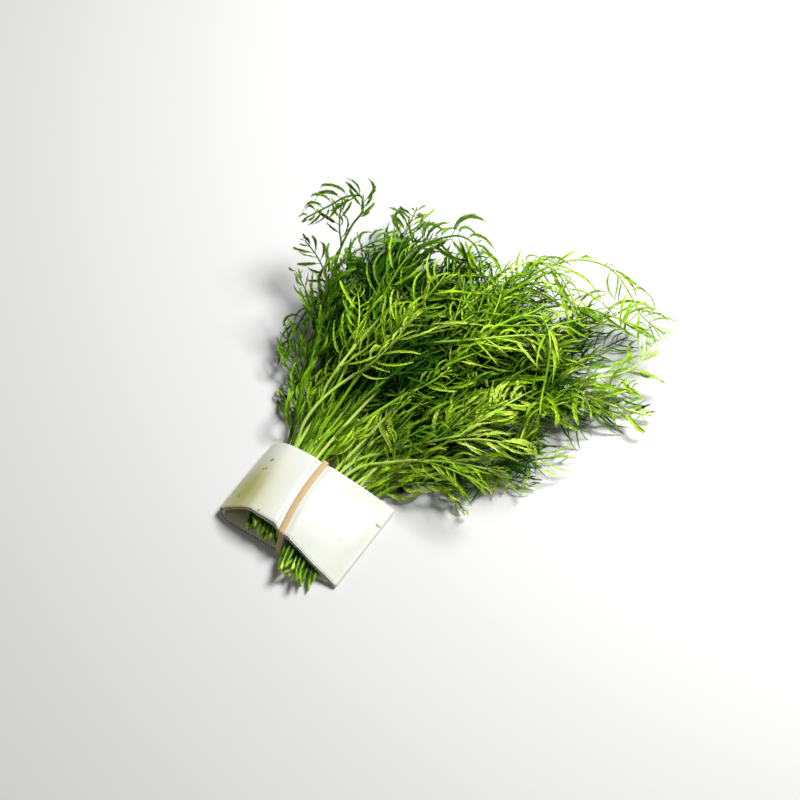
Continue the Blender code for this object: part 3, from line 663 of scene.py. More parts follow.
def plan_bunch():
    """Lay out every shoot of the bunch, each clear of the others."""
    draw = random.Random(SEED)
    space = Space()
    specs = list(SHOWN_SHOOTS)
    for lane, layer, height, stray in FILLING_SHOOTS:
        points = fan_points(lane, layer, height, stray, draw)
        bare = draw.uniform(*BARE_LOWEST) if layer == 0 else draw.uniform(*BARE_ABOVE)
        specs.append((lane, layer, bare, draw.choice((3, 3, 4)), draw.uniform(*FILLING_PINNA), points))
    stems = [plan_stem(space, owner, lane, layer, bare, points, draw)
             for owner, (lane, layer, bare, _, _, points) in enumerate(specs)]
    for rank in range(SHOWN_FRONDS):
        for owner, stem in enumerate(stems):
            most = SHOWN_FRONDS if owner < len(SHOWN_SHOOTS) else FILLING_FRONDS
            if rank < min(most, len(stem.leaf_joints)) and stem.leaf_joints[rank] < len(stem.points) - 2:
                roll = GOLDEN_TURN * (rank + 2 * owner)
                plan_leaf(space, owner, stem, stem.leaf_joints[rank], roll, specs[owner][3], draw)
    plan_pinnae(space, stems, [spec[4] for spec in specs], draw)
    return stems


STEMS = plan_bunch()
print("stems:", len(STEMS), "side fronds:", sum(len(stem.branches) for stem in STEMS))

# %% [markdown]
# ## From numbers to meshes
#
# One shoot carries thousands of small closed forms. Making them one by one with mesh tools would take
# minutes, so each kind of form is worked out as an array for the whole shoot: one list of triangles serves
# every copy. Each form is turned right side out by the sign of its volume.

# %% Gather closed forms
class Growth:
    """Closed forms of one shoot: corners, triangles, colour values and smoothness."""

    def __init__(self):
        self.corners, self.faces, self.tints, self.smooth = [], [], [], []
        self.count = 0

    def add(self, corners, faces, tints, smooth):
        """Add copies of one form: corners (copies, corners, 3), and tints alike."""
        copies, size = corners.shape[:2]
        local = corners - corners[:, :1]
        a, b, c = (local[:, faces[:, k]] for k in range(3))
        inside_out = (a * np.cross(b, c)).sum(axis=(1, 2)) < 0
        turned = np.where(inside_out[:, None, None], faces[None, :, ::-1], faces[None])
        starts = self.count + size * np.arange(copies)
        self.corners.append(corners.reshape(-1, 3))
        self.tints.append(np.broadcast_to(tints, corners.shape).reshape(-1, 3))
        self.faces.append((turned + starts[:, None, None]).reshape(-1, 3))
        self.smooth.append(np.full(copies * len(faces), smooth))
        self.count += copies * size

    def joined(self):
        """All corners, triangles, tints and smoothness in one array each."""
        return [np.concatenate(part) for part in (self.corners, self.faces, self.tints, self.smooth)]


print("a growth gathers corners, faces, tints and smoothness")

# %% Triangles of a tube
def tube_faces(rings, sides):
    """Triangles of a closed tube: a flat start, its sides and a point at its end."""
    faces = [(0, side + 1, side) for side in range(1, sides - 1)]
    for ring in range(rings - 1):
        for side in range(sides):
            a, b = ring * sides + side, ring * sides + (side + 1) % sides
            faces += [(a, b, b + sides), (a, b + sides, a + sides)]
    last = (rings - 1) * sides
    faces += [(last + side, last + (side + 1) % sides, rings * sides) for side in range(sides)]
    return np.array(faces)


print("a six-sided tube of ten rings has", len(tube_faces(10, 6)), "triangles")

# %% A mesh from arrays
def mesh_piece(name, corners, faces, smooth, colours, colour_name):
    """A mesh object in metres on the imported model, with one colour value for each corner."""
    mesh = bpy.data.meshes.new(name)
    mesh.vertices.add(len(corners))
    mesh.vertices.foreach_set("co", (corners * MM + np.array(MOVE)).ravel())
    mesh.loops.add(faces.size)
    mesh.loops.foreach_set("vertex_index", faces.ravel())
    mesh.polygons.add(len(faces))
    mesh.polygons.foreach_set("loop_start", np.arange(0, faces.size, faces.shape[1]))
    mesh.polygons.foreach_set("use_smooth", smooth)
    values = mesh.attributes.new(colour_name, "FLOAT_COLOR", "POINT")
    values.data.foreach_set("color", np.hstack([colours, np.ones((len(corners), 1))]).ravel())
    mesh.update()
    mesh.validate()
    piece = bpy.data.objects.new(name, mesh)
    bpy.context.scene.collection.objects.link(piece)
    return piece


print("meshes are scaled by", MM, "and moved onto the packed model")

# %% [markdown]
# ## Round stalks
#
# A real stem is round, bends in smooth curves, swells a little where a leaf leaves it and is paler where it
# was cut. The laid joints are joined by a smooth curve, and a ring of corners is set round every point of
# it. The skin of a curve object would do as well, but here each point also carries its own colour value.

# %% Smooth lines
STEM_RINGS = 5
FREE_END_X = 4.0
FREE_END_REACH = 10.0


def squared(up, ahead):
    """Upward directions, set square to the directions ahead."""
    return units(up - ahead * (up * ahead).sum(axis=-1, keepdims=True))


class Line:
    """A strand as a smooth line through its joints. Its cut end, outside the sleeve, may lie aside."""

    def __init__(self, strand, aside=None):
        joints = np.array(strand.points)
        self.strand = strand
        self.points = smooth_route(2 * joints[0] - joints[1], joints, STEM_RINGS)
        if aside is not None:
            free = np.clip((FREE_END_X - self.points[:, :1]) / FREE_END_REACH, 0, None) ** 2
            self.points += free * aside
            self.points[:, 2] = np.maximum(self.points[:, 2], STEM_RADIUS)
        self.at = np.arange(len(self.points)) / STEM_RINGS
        self.radii = np.interp(self.at, np.arange(len(strand.radii)), strand.radii)
        self.up = np.array(carried_up(self.points, strand.up[0]))
        self.ahead = units(np.gradient(self.points, axis=0))

    def spot(self, at):
        """Places on the line at fractional joints."""
        return between(at, self.at, self.points)

    def frame(self, at):
        """Ahead and upward directions of the laid strand at fractional joints."""
        ups = np.array(self.strand.up)
        ahead = units(between(at, self.at, self.ahead))
        return ahead, squared(between(at, np.arange(len(ups)), ups), ahead)


print("rings between two joints:", STEM_RINGS)

# %% Round stalks along the lines
ROUND_SIDES = 8
FROND_SIDES = 6
SWELL_SHARP = 6.0
CUT_SLANT = 1.8
SLANT_TURNS = (0.71, 0.37)
SLEEVE_PAINTED_SHADE = 0.06
SLEEVE_PAINTED_SHADE_X = (4.0, 66.0)
CUT_FACE = (1.0, 0.5)


def add_stalk(growth, line, sides, swells, tint, cut_face):
    """A round stalk along a line, swollen at the given joints."""
    radii = line.radii.copy()
    for joint, amount in swells:
        radii *= 1 + amount * np.exp(-((line.at - joint) * SWELL_SHARP) ** 2)
    points, ahead = line.points[:-1], line.ahead[:-1]
    across = np.cross(line.up[:-1], ahead)
    angles = math.tau * np.arange(sides) / sides
    cos, sin = np.cos(angles)[None, :, None], np.sin(angles)[None, :, None]
    rings = points[:, None] + radii[:-1, None, None] * (cos * line.up[:-1, None] + sin * across[:, None])
    tints = np.broadcast_to(np.array(tint, dtype=float), rings.shape).copy()
    if cut_face:
        slant = math.tau * ((points[0, 1] * SLANT_TURNS[1] + points[0, 0] * SLANT_TURNS[0]) % 1.0)
        rings[0] += ahead[0] * (np.cos(angles + slant) * CUT_SLANT * radii[0])[:, None]
        # Painted shade: each stem is darkened from the mouth towards its cut end inside the sleeve.
        tints[:, :, 0] *= mix(SLEEVE_PAINTED_SHADE, 1, share_between(points[:, 0], *SLEEVE_PAINTED_SHADE_X))[:, None]
        tints[0, :, :2] = CUT_FACE
    corners = np.vstack([rings.reshape(-1, 3), line.points[-1:]])
    colours = np.vstack([tints.reshape(-1, 3), tints[-1, :1]])
    growth.add(corners[None], tube_faces(len(points), sides), colours[None], True)


print("a stem has", ROUND_SIDES, "sides, a side frond's stalk", FROND_SIDES)

# %% [markdown]
# ## Feathery pinnae
#
# Each pinna is a thin curved axis with two rows of leaflets, folded forward so closely that the whole reads
# as one serrated blade. A leaflet is a closed form of four triangles, a keel with two raised corners. The
# axis is a quadratic curve: base, bend and tip. All pinnae of a shoot are grown in one go.

# %% Curved axes
AXIS_STEPS = (0.0, 0.3, 0.6, 0.85)
AXIS_RADII = (0.30, 0.24, 0.18, 0.12)
AXIS_SIDES = (0.0, 2.1, 4.2)
AXIS_LIGHTER = 0.12
AXIS_LEAF = 0.7


def curve_at(base, bend, tip, t):
    """Places and directions on quadratic curves: (pinnae, steps, 3)."""
    t = np.asarray(t)[None, :, None]
    base, bend, tip = base[:, None], bend[:, None], tip[:, None]
    spots = (1 - t) ** 2 * base + 2 * t * (1 - t) * bend + t ** 2 * tip
    ways = (1 - t) * (bend - base) + t * (tip - bend)
    return spots, units(ways)


def sides_of(ways, up):
    """Directions square to each way: upward and to the left."""
    up = squared(up[:, None], ways)
    return up, np.cross(up, ways)


def add_axes(growth, base, bend, tip, up, tone):
    """Three-sided curved axes that end in a point."""
    spots, ways = curve_at(base, bend, tip, AXIS_STEPS)
    rise, left = sides_of(ways, up)
    radii = np.array(AXIS_RADII)[None, :, None]
    ring = [spots + radii * (math.cos(turn) * rise + math.sin(turn) * left) for turn in AXIS_SIDES]
    corners = np.stack(ring, axis=2).reshape(len(base), -1, 3)
    corners = np.concatenate([corners, tip[:, None]], axis=1)
    tints = np.zeros_like(corners)
    tints[..., 0], tints[..., 1] = tone[:, None] + AXIS_LIGHTER, AXIS_LEAF
    growth.add(corners, tube_faces(len(AXIS_STEPS), len(AXIS_SIDES)), tints, True)


print("triangles for each axis:", len(tube_faces(len(AXIS_STEPS), len(AXIS_SIDES))))

# %% Leaflets
LEAFLET_FACES = np.array([(0, 1, 2), (0, 3, 1), (0, 2, 3), (1, 3, 2)])
LEAFLET_GAP = 1.6
LEAFLETS_FROM, LEAFLETS_OVER = 0.10, 0.88
FEWEST_LEAFLETS = 4
FULLEST_AT, FULLNESS, SLIMMEST = 0.75, 0.7, 0.28
LEAFLET_LENGTH = (0.82, 1.12)
LEAFLET_OPEN = (0.75, 1.25)
LEAFLET_CLOSES = 0.35
LEAFLET_LIFT = (-0.12, 0.22)
LEAFLET_ROLL = (0.1, 0.7)
LEAFLET_ROOT = 0.10
LEAFLET_FORWARD = 0.08
WIDEST_AT, KEEL = 0.42, 0.14
LEAFLET_HALF = 0.52
HALF_LENGTH, HALF_RANGE = 3.0, (0.6, 1.15)
LEAFLET_SHADES = 0.07
TIP_YELLOWER = 0.18
POINT_LIGHTER = 0.06


def add_leaflets(growth, base, bend, tip, up, longest, sweep, tone, draw):
    """Two rows of folded leaflets on each axis."""
    spans = np.linalg.norm(bend - base, axis=1) + np.linalg.norm(tip - bend, axis=1)
    counts = np.maximum(np.round(spans / LEAFLET_GAP * LEAFLETS_OVER), FEWEST_LEAFLETS).astype(int)
    for count in np.unique(counts):
        some = counts == count
        shape = (some.sum(), count, 1)
        t = LEAFLETS_FROM + LEAFLETS_OVER * (np.arange(count) + 0.5) / count
        spots, ways = curve_at(base[some], bend[some], tip[some], t)
        rise, left = sides_of(ways, up[some])
        profile = np.clip(np.sin(math.pi * t ** FULLEST_AT) ** FULLNESS, SLIMMEST, 1.0)
        full = longest[some][:, None, None] * profile[None, :, None]
        open_by = sweep[some][:, None, None] * (1 - LEAFLET_CLOSES * t[None, :, None])
        for sign in (1, -1):
            length = full * draw.uniform(*LEAFLET_LENGTH, shape)
            angle = open_by * draw.uniform(*LEAFLET_OPEN, shape)
            lift = draw.uniform(*LEAFLET_LIFT, shape)
            out = units(ways * np.cos(angle) + sign * left * np.sin(angle) + rise * lift)
            roll = draw.uniform(*LEAFLET_ROLL, shape) * sign
            flat = np.cross(rise, out)
            flat = flat * np.cos(roll) + np.cross(out, flat) * np.sin(roll)
            root = spots + sign * left * LEAFLET_ROOT
            far = root + out * length + ways * length * LEAFLET_FORWARD
            middle = root + out * length * WIDEST_AT + rise * KEEL
            half = LEAFLET_HALF * np.clip(length / HALF_LENGTH, *HALF_RANGE)
            corners = np.stack([root, far, middle + flat * half, middle - flat * half], axis=2)
            corners = corners.reshape(-1, 4, 3)
            shade = tone[some][:, None] + draw.uniform(-LEAFLET_SHADES, LEAFLET_SHADES, shape[:2])
            tints = np.zeros_like(corners)
            tints[..., 0] = (shade + TIP_YELLOWER * t[None, :] ** 2).reshape(-1, 1)
            tints[:, 1, 0] += POINT_LIGHTER
            tints[..., 1] = 1.0
            growth.add(corners, LEAFLET_FACES, tints, False)


print("triangles for each leaflet:", len(LEAFLET_FACES))

# %% [markdown]
# ## A fine shoot
#
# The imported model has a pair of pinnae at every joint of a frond. A living frond has them closer together,
# so more are set between, each shaped like its two neighbours, with a small difference of length and sweep.
# Towards the frond's tip they shorten and close up into the young point. A few single young pinnae hug the
# stem below.

# %% Tips of the laid pinnae
MISSING_PINNA = (0.8, 0.5)
MISSING_RISE = (-0.2, 0.1)


def laid_offsets(line, joints, side, length, draw):
    """Tip of each laid pinna in its joint's own directions: ahead, outward, up."""
    offsets = []
    for joint in joints:
        tips = line.strand.pairs.get(joint)
        tip = tips[0 if side > 0 else 1] if tips else None
        ahead, up = line.frame(np.array([float(joint)]))
        ahead, up = ahead[0], up[0]
        outward = np.cross(up, ahead) * side
        if tip is None:
            offsets.append([share * length for share in (*MISSING_PINNA, draw.uniform(*MISSING_RISE))])
        else:
            reach = tip - line.strand.points[joint]
            offsets.append([reach @ ahead, reach @ outward, reach @ up])
    return np.array(offsets)


print("a missing pinna would reach ahead by", MISSING_PINNA[0], "of the usual length")

# %% Pinnae between the laid ones
PINNA_PITCH = 6.0
STARTS_BEFORE = 0.35
BARE_STARTS_BEFORE = 0.5
PLACE_SCATTER = 0.14
SIDE_SHIFT = 0.08
PLACE_ENDS = (0.3, 0.02)
YOUNG_JOINTS = 1.6
YOUNG_SHARE = 0.34
YOUNG_SPREAD = 0.35
PINNA_SIZES = (0.65, 1.2)
TURN_SCATTER = 0.14
RISE_SCATTER = 0.16
LEAST_SPREAD = 0.1
CLOSED_UNTIL_X = 105.0
OPEN_FROM_X = 175.0
CLOSED_SPREAD = 0.5
OPEN_SPREAD = 1.1


def frond_pinnae(line, length, draw):
    """Base, reach, directions and age for each pinna of one frond."""
    joints = sorted(line.strand.pairs)
    if not joints:
        return None
    last = len(line.strand.points) - 1
    bare = line.strand.leaf_joints == [] and joints[0] > 1
    first = joints[0] - (BARE_STARTS_BEFORE if bare else STARTS_BEFORE)
    places = np.arange(first, last - 0.05, PINNA_PITCH / PAIR_STEP)
    rows = []
    for side in (1, -1):
        offsets = laid_offsets(line, joints, side, length, draw)
        at = places + draw.uniform(-PLACE_SCATTER, PLACE_SCATTER, len(places)) + SIDE_SHIFT * side
        for place in np.clip(at, PLACE_ENDS[0], last - PLACE_ENDS[1]):
            own = between(place, joints, offsets)
            age = (last - place) / max(last - joints[0] + 0.5, 1.0)
            near_tip = ease((last - place) / YOUNG_JOINTS)
            size = mix(YOUNG_SHARE, 1, near_tip) * draw.uniform(*PINNA_SIZES)
            turn = draw.normal(0, TURN_SCATTER)
            opened = ease((line.spot(place)[0] - CLOSED_UNTIL_X) / (OPEN_FROM_X - CLOSED_UNTIL_X))
            own[1] *= mix(YOUNG_SPREAD, 1, near_tip) * mix(CLOSED_SPREAD, OPEN_SPREAD, opened)
            forward = own[0] * math.cos(turn) - own[1] * math.sin(turn)
            outward = own[0] * math.sin(turn) + own[1] * math.cos(turn)
            rows.append((place, side, forward * size, max(outward, LEAST_SPREAD) * size,
                         own[2] * size + draw.normal(0, RISE_SCATTER) * length, age))
    rows = np.array(rows)
    ahead, up = line.frame(rows[:, 0])
    outward = np.cross(up, ahead) * rows[:, 1:2]
    reach = ahead * rows[:, 2:3] + outward * rows[:, 3:4] + up * rows[:, 4:5]
    return line.spot(rows[:, 0]), reach, ahead, outward, up, rows[:, 5]


print("a pinna every", PINNA_PITCH, "mm on each side of a frond")

# %% How pinnae bend and hang
PINNA_BOW = (0.05, 0.42)
PINNA_ARCH = (0.0, 0.34)
PINNA_HANG = (0.1, 1.0)
LOW_Z, HIGH_Z = 8.0, 34.0
HANG_LOW, HANG_HIGH = 0.5, 1.7


def bent(base, reach, ahead, outward, lean, draw):
    """Bend and tip of each pinna: it leaves outward and a little upward, then sweeps forward and hangs."""
    count = len(base)
    size = np.linalg.norm(reach, axis=1)[:, None]
    bow = draw.uniform(*PINNA_BOW, (count, 1))
    arch = draw.uniform(*PINNA_ARCH, (count, 1))
    height = share_between(base[:, 2:], LOW_Z, HIGH_Z)
    hang = draw.uniform(*PINNA_HANG, (count, 1)) * mix(HANG_LOW, HANG_HIGH, height)
    bend = base + reach * 0.5 + outward * size * bow - ahead * size * bow * 0.5 + UP * size * arch
    tip = base + reach + lean * size * hang
    return bend, tip


print("pinnae above", HIGH_Z, "mm hang by up to", HANG_HIGH, "of their length")

# %% A small side frond
EXTRA_STEP = 9.5
EXTRA_BEND = 0.24
EXTRA_TURN = 0.10
EXTRA_TILT = 0.6
EXTRA_ABOVE_Z = 1.2


def small_frond(start, ahead, outward, spread, count, draw):
    """A short side frond that leaves a stem and bends a little, never below the surface."""
    spread = math.radians(spread)
    heading = unit(ahead * math.cos(spread) + outward * math.sin(spread))
    curl = EXTRA_BEND * draw.normal(0, 1, 3)
    points = [start]
    for _ in range(count):
        spot = points[-1] + heading * EXTRA_STEP
        spot[2] = max(spot[2], EXTRA_ABOVE_Z)
        points.append(spot)
        heading = unit(heading + EXTRA_TURN * ahead + curl)
    radii = list(np.linspace(FROND_RADIUS, FROND_TIP_RADIUS, len(points)))
    frond = Strand(points, radii, unit(UP + EXTRA_TILT * draw.normal(0, 1, 3)))
    frond.leaf_joints = []
    frond.pairs = {joint: None for joint in range(1, len(points) - 1)}
    return frond


print("joints of a small side frond are", EXTRA_STEP, "mm apart")

# %% Side fronds between the laid ones
EXTRA_FROM_X = {0: 72.0, 1: 108.0, 2: 140.0, 3: 150.0}
EXTRA_SPREAD = (14, 34)
EXTRA_JOINTS = (3, 5)
SHOWN_UNTIL_X = 190.0


def extra_fronds(stem, layer, shown, draw):
    """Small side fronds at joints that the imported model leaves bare, later on the upper layers' stems."""
    fronds = []
    until = SHOWN_UNTIL_X if shown else math.inf
    for joint in range(3, len(stem.points) - 3):
        taken = joint in stem.branches or joint in stem.pairs
        if taken or not EXTRA_FROM_X[layer] <= stem.points[joint][0] <= until:
            continue
        ahead, up = stem.ahead(joint), stem.up[joint]
        turn = draw.uniform(0, math.tau)
        outward = np.cross(up, ahead) * math.cos(turn) + up * math.sin(turn)
        spread, count = draw.uniform(*EXTRA_SPREAD), draw.integers(*EXTRA_JOINTS)
        fronds.append(small_frond(stem.points[joint], ahead, outward, spread, count, draw))
    return fronds


print("small side fronds spread by", EXTRA_SPREAD, "degrees")

# %% Old side fronds below
UNDER_FROM_X = 104.0
UNDER_UNTIL_X = 225.0
UNDER_ABOVE_Z = 7.0
UNDER_SPREAD = (22, 48)
UNDER_SINK = 0.6
UNDER_SINKS = (0.4, 1.6)
UNDER_SHARE = 0.85
UNDER_JOINTS = 3


def under_fronds(stem, draw):
    """Old side fronds that sink from a stem into the heap, left and right by turns. They close its gaps."""
    fronds = []
    for joint in range(4, len(stem.points) - 3):
        x, _, z = stem.points[joint]
        if z < UNDER_ABOVE_Z or not UNDER_FROM_X < x < UNDER_UNTIL_X or draw.random() > UNDER_SHARE:
            continue
        ahead, up = stem.ahead(joint), stem.up[joint]
        side = np.cross(up, ahead) * (1 if joint % 2 else -1)
        outward = unit(side - UP * UNDER_SINK * draw.uniform(*UNDER_SINKS))
        spread = draw.uniform(*UNDER_SPREAD)
        fronds.append(small_frond(stem.points[joint], ahead, outward, spread, UNDER_JOINTS, draw))
    return fronds


print("old side fronds spread by", UNDER_SPREAD, "degrees")

# %% Young pinnae that hug the stem
HUG_FROM_X = 64.0
HUG_PITCH = {0: 4.5, 1: 11.0, 2: 20.0, 3: 24.0}
HUG_LENGTH = (8.0, 19.0)
HUG_SWEEP = (0.12, 0.5)
MIDDLE_LANES = 2
MIDDLE_UNTIL_X = 84.0
MIDDLE_COUNT = 9
MIDDLE_SCATTER = 0.5


def hugging_pinnae(line, lane, layer, draw):
    """Single young pinnae close along the stem, below its frond, and more in the gap behind the band."""
    strand = line.strand
    last = min(strand.pairs) if strand.pairs else len(strand.points) - 2
    start = next((at for at, point in zip(line.at, line.points) if point[0] > HUG_FROM_X), last)
    count = max(int((last - start) * STEM_STEP / HUG_PITCH[layer]), 2)
    at = np.sort(draw.uniform(start, last, count))
    in_middle = abs(lane) <= MIDDLE_LANES
    if in_middle:
        until = next((at for at, point in zip(line.at, line.points) if point[0] > MIDDLE_UNTIL_X), last)
        at[:MIDDLE_COUNT] = draw.uniform(start, until, len(at[:MIDDLE_COUNT]))
    base = line.spot(at)
    ahead, up = line.frame(at)
    turn = draw.uniform(0, math.tau, count)[:, None]
    if in_middle:
        inward = math.pi if lane > 0 else 0.0
        turn[:MIDDLE_COUNT, 0] = inward + draw.normal(0, MIDDLE_SCATTER, len(turn[:MIDDLE_COUNT]))
    outward = np.cross(up, ahead) * np.cos(turn) + up * np.sin(turn)
    size = draw.uniform(*HUG_LENGTH, count)[:, None]
    sweep = draw.uniform(*HUG_SWEEP, count)[:, None]
    reach = (ahead * np.cos(sweep) + outward * np.sin(sweep)) * size
    return base, reach, ahead, outward, up, np.ones(count)


print("young pinnae along a stem are", HUG_LENGTH, "mm long")

# %% Stalks of one shoot
BRANCH_SWELL = 0.40
FOOT_SWELL = 0.8
FROND_STALK_SHARE = 0.3
FROND_STALK_LEAF = 0.3
# Painted shade: stalks and pinnae of the side fronds sunk into the heap are darkened by this much.
UNDER_PAINTED_SHADE = 0.38
LEFT_ASIDE = (0.5, 1.4)
RIGHT_ASIDE = (-2.2, 2.0)
RISE_ASIDE = 1.3


def add_stalks(growth, stem, lane, layer, shown, stalk, tone, draw):
    """The stem and all its side fronds' stalks, as lines with how much painted shade darkens each one's
    pinnae.
    """
    side_ways = draw.normal(*(LEFT_ASIDE if lane > 0 else RIGHT_ASIDE))
    aside = np.array([0.0, side_ways, draw.normal(0, RISE_ASIDE)])
    lines = [(Line(stem, aside), 0.0)]
    swells = [(joint, BRANCH_SWELL) for joint in stem.branches]
    add_stalk(growth, lines[0][0], ROUND_SIDES, swells, (stalk, 0.0, 0.0), True)
    upper = [leaf for leaf, _ in stem.branches.values()] + extra_fronds(stem, layer, shown, draw)
    under = [] if shown else under_fronds(stem, draw)
    for leaf, painted_fade in [(leaf, 0.0) for leaf in upper] + [(leaf, UNDER_PAINTED_SHADE) for leaf in under]:
        lines.append((Line(leaf), painted_fade))
        mixed = FROND_STALK_SHARE * stalk + (1 - FROND_STALK_SHARE) * tone - painted_fade
        add_stalk(growth, lines[-1][0], FROND_SIDES, [(0, FOOT_SWELL)], (mixed, FROND_STALK_LEAF, 0.0), False)
    return lines


# Painted shade darkens the side fronds sunk into the heap.
print("old side fronds are darker by", UNDER_PAINTED_SHADE)

# %% Tone and lean of the pinnae
TONE_SCATTER = 0.15
YOUNG_LIGHTER = 0.16
TIP_LIGHTER = 0.08
TIP_FROM_X, TIP_UNTIL_X = 215.0, 245.0
NEAR_PAINTED_LIGHT = 0.16
NEAR_X, NEAR_REACH = 120.0, 100.0
LEAN_ASIDE = 0.22
LEAN_DOWN = (0.10, 0.45)


def pinna_tones(tone, painted_fades, age, x, draw):
    """Tone of each pinna: lighter where it is young and at the tips, with painted light that makes it lighter
    near the sleeve and darker far from it, and painted shade on sunk side fronds.
    """
    lighter = share_between(x, TIP_FROM_X, TIP_UNTIL_X) * TIP_LIGHTER
    # Painted light: pinnae are lighter near the sleeve and darker far from it.
    painted_near_light = np.clip((NEAR_X - x) / NEAR_REACH, -0.5, 0.5) * NEAR_PAINTED_LIGHT
    scatter = draw.normal(0, TONE_SCATTER, len(x))
    return np.clip(tone - painted_fades + scatter + YOUNG_LIGHTER * (1 - age) + lighter + painted_near_light, 0.03, 1.0)


def frond_lean(draw):
    """The way in which a frond's pinnae hang: down, and a little to one side."""
    turn = draw.uniform(0, math.tau)
    return np.array([LEAN_ASIDE * math.cos(turn), LEAN_ASIDE * math.sin(turn), -draw.uniform(*LEAN_DOWN)])


print("tones differ by about", TONE_SCATTER)

# %% Grow each shoot
HIGH_SHOOTS = 3
SHOWN_TONES = (0.04, 0.08, 0.14, 0.86, 0.36, 0.36, 0.34, 0.56, 0.44, 0.48, 0.90, 0.66)
SHOWN_SWEEPS = (0.26, 0.26, 0.24, 0.17, 0.24, 0.24, 0.26, 0.26, 0.40, 0.45, 0.42, 0.50)
FILLING_TONE = (0.08, 0.62)
FILLING_SWEEP = (0.13, 0.24)
STALK_TONES = (0.28, 1.0)
HIGH_STALK_TONE = 0.10
PINNA_STRETCH = 1.5
HIGH_STRETCH = 1.4
HIGH_BROADER = 1.8
LEAFLET_SHARE = 0.13
LONGEST_RANGE = (1.6, 4.0)
LONGEST_SCATTER = (0.85, 1.15)
WIDE_SWEEP, WIDE_LONGER = 0.3, 1.5
ROLL_SCATTER = 0.55


def grow_shoot(number, stem, spec):
    """All closed forms of one shoot."""
    lane, layer, length = spec
    draw = np.random.default_rng(SEED + number)
    shown, high = number <= len(SHOWN_SHOOTS), number <= HIGH_SHOOTS
    tone = SHOWN_TONES[number - 1] if shown else draw.uniform(*FILLING_TONE)
    sweep = SHOWN_SWEEPS[number - 1] if shown else draw.uniform(*FILLING_SWEEP)
    stalk = HIGH_STALK_TONE if high else draw.uniform(*STALK_TONES)
    growth = Growth()
    lines = add_stalks(growth, stem, lane, layer, shown, stalk, tone, draw)
    groups = [(frond_pinnae(line, length, draw), painted_fade) for line, painted_fade in lines]
    groups = [(group, painted_fade) for group, painted_fade in groups if group is not None]
    groups.append((hugging_pinnae(lines[0][0], lane, layer, draw), 0.0))
    leans = np.concatenate([np.broadcast_to(frond_lean(draw), group[0].shape) for group, _ in groups])
    painted_fades = np.concatenate([np.full(len(group[0]), painted_fade) for group, painted_fade in groups])
    joined = (np.concatenate(column) for column in zip(*(group for group, _ in groups)))
    base, reach, ahead, outward, up, age = joined
    reach = reach * (HIGH_STRETCH if high else PINNA_STRETCH)
    count = len(base)
    bend, tip = bent(base, reach, ahead, outward, leans, draw)
    up = up + outward * draw.normal(0, ROLL_SCATTER, (count, 1))
    tones = pinna_tones(tone, painted_fades, age, base[:, 0], draw)
    longest = np.clip(LEAFLET_SHARE * np.linalg.norm(reach, axis=1), *LONGEST_RANGE)
    longest = longest * draw.uniform(*LONGEST_SCATTER, count)
    longest *= (1 + max(sweep - WIDE_SWEEP, 0) * WIDE_LONGER) * (HIGH_BROADER if high else 1)
    add_axes(growth, base, bend, tip, up, tones)
    add_leaflets(growth, base, bend, tip, up, longest, np.full(count, sweep), tones, draw)
    return growth


SPECS = [(spec[0], spec[1], spec[4]) for spec in SHOWN_SHOOTS]
SPECS += [(spec[0], spec[1], np.mean(FILLING_PINNA)) for spec in FILLING_SHOOTS]
GROWN = [grow_shoot(number, stem, SPECS[number - 1]).joined() for number, stem in enumerate(STEMS, 1)]
print("triangles of the fine shoots:", sum(len(faces) for _, faces, _, _ in GROWN))

# %% [markdown]
# ## Shade inside the heap
#
# Leaves deep in the heap, where light hardly reaches them, get painted shade: they are darkened towards a
# deep green. How deep a corner lies is measured on a coarse grid seen from above: the highest corner in each
# square of the grid, less its own height. The value goes into the third part of each corner's colour, and the
# leaf's material reads it as painted shade.

# %% Depth below the top of the heap
CANOPY_CELL = 6.0
CANOPY_DEPTH = 26.0
THIN_HEAP = 13.0


def canopy_heights(clouds):
    """Highest corner in each square of a grid, smoothed with its neighbours."""
    points = np.concatenate(clouds)
    cells = np.floor((points[:, :2] - points[:, :2].min(axis=0)) / CANOPY_CELL).astype(int) + 1
    heights = np.zeros(cells.max(axis=0) + 2)
    np.maximum.at(heights, (cells[:, 0], cells[:, 1]), points[:, 2])
    shifts = [np.roll(heights, (i, j), (0, 1)) for i in (-1, 0, 1) for j in (-1, 0, 1)]
    return np.mean(shifts, axis=0), points[:, :2].min(axis=0)


CANOPY, CANOPY_START = canopy_heights([corners for corners, _, _, _ in GROWN])


def painted_shade_depth(corners):
    """From 0 at the top of the heap to 1 far below it: how much painted shade a corner gets."""
    cells = np.floor((corners[:, :2] - CANOPY_START) / CANOPY_CELL).astype(int) + 1
    top = CANOPY[cells[:, 0], cells[:, 1]]
    thick = share_between(top, THIN_HEAP, 2 * THIN_HEAP)
    return thick * share_between(top - corners[:, 2], 0, CANOPY_DEPTH)


print("highest part of the heap:", round(float(CANOPY.max()), 1), "mm")

# %% Put the shoots in place of their imported nodes, on the root body
BOX_LOW = (np.array(CAD_BOX[0]) - np.array(MOVE)) / MM
BOX_HIGH = (np.array(CAD_BOX[1]) - np.array(MOVE)) / MM
SHOOTS = []
for number, (corners, faces, tints, smooth) in enumerate(GROWN, 1):
    corners = np.clip(corners, BOX_LOW, BOX_HIGH)
    # Painted shade: the third colour value darkens corners deep in the heap.
    tints[:, 2] = painted_shade_depth(corners)
    piece = mesh_piece(f"leafy_shoot_{number:02d}", corners, faces, smooth, tints, "growth")
    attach(piece, "root")
    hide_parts(f"shoot_{number:02d}")
    SHOOTS.append(piece)
print("largest shoot:", max(len(piece.data.polygons) for piece in SHOOTS), "triangles")

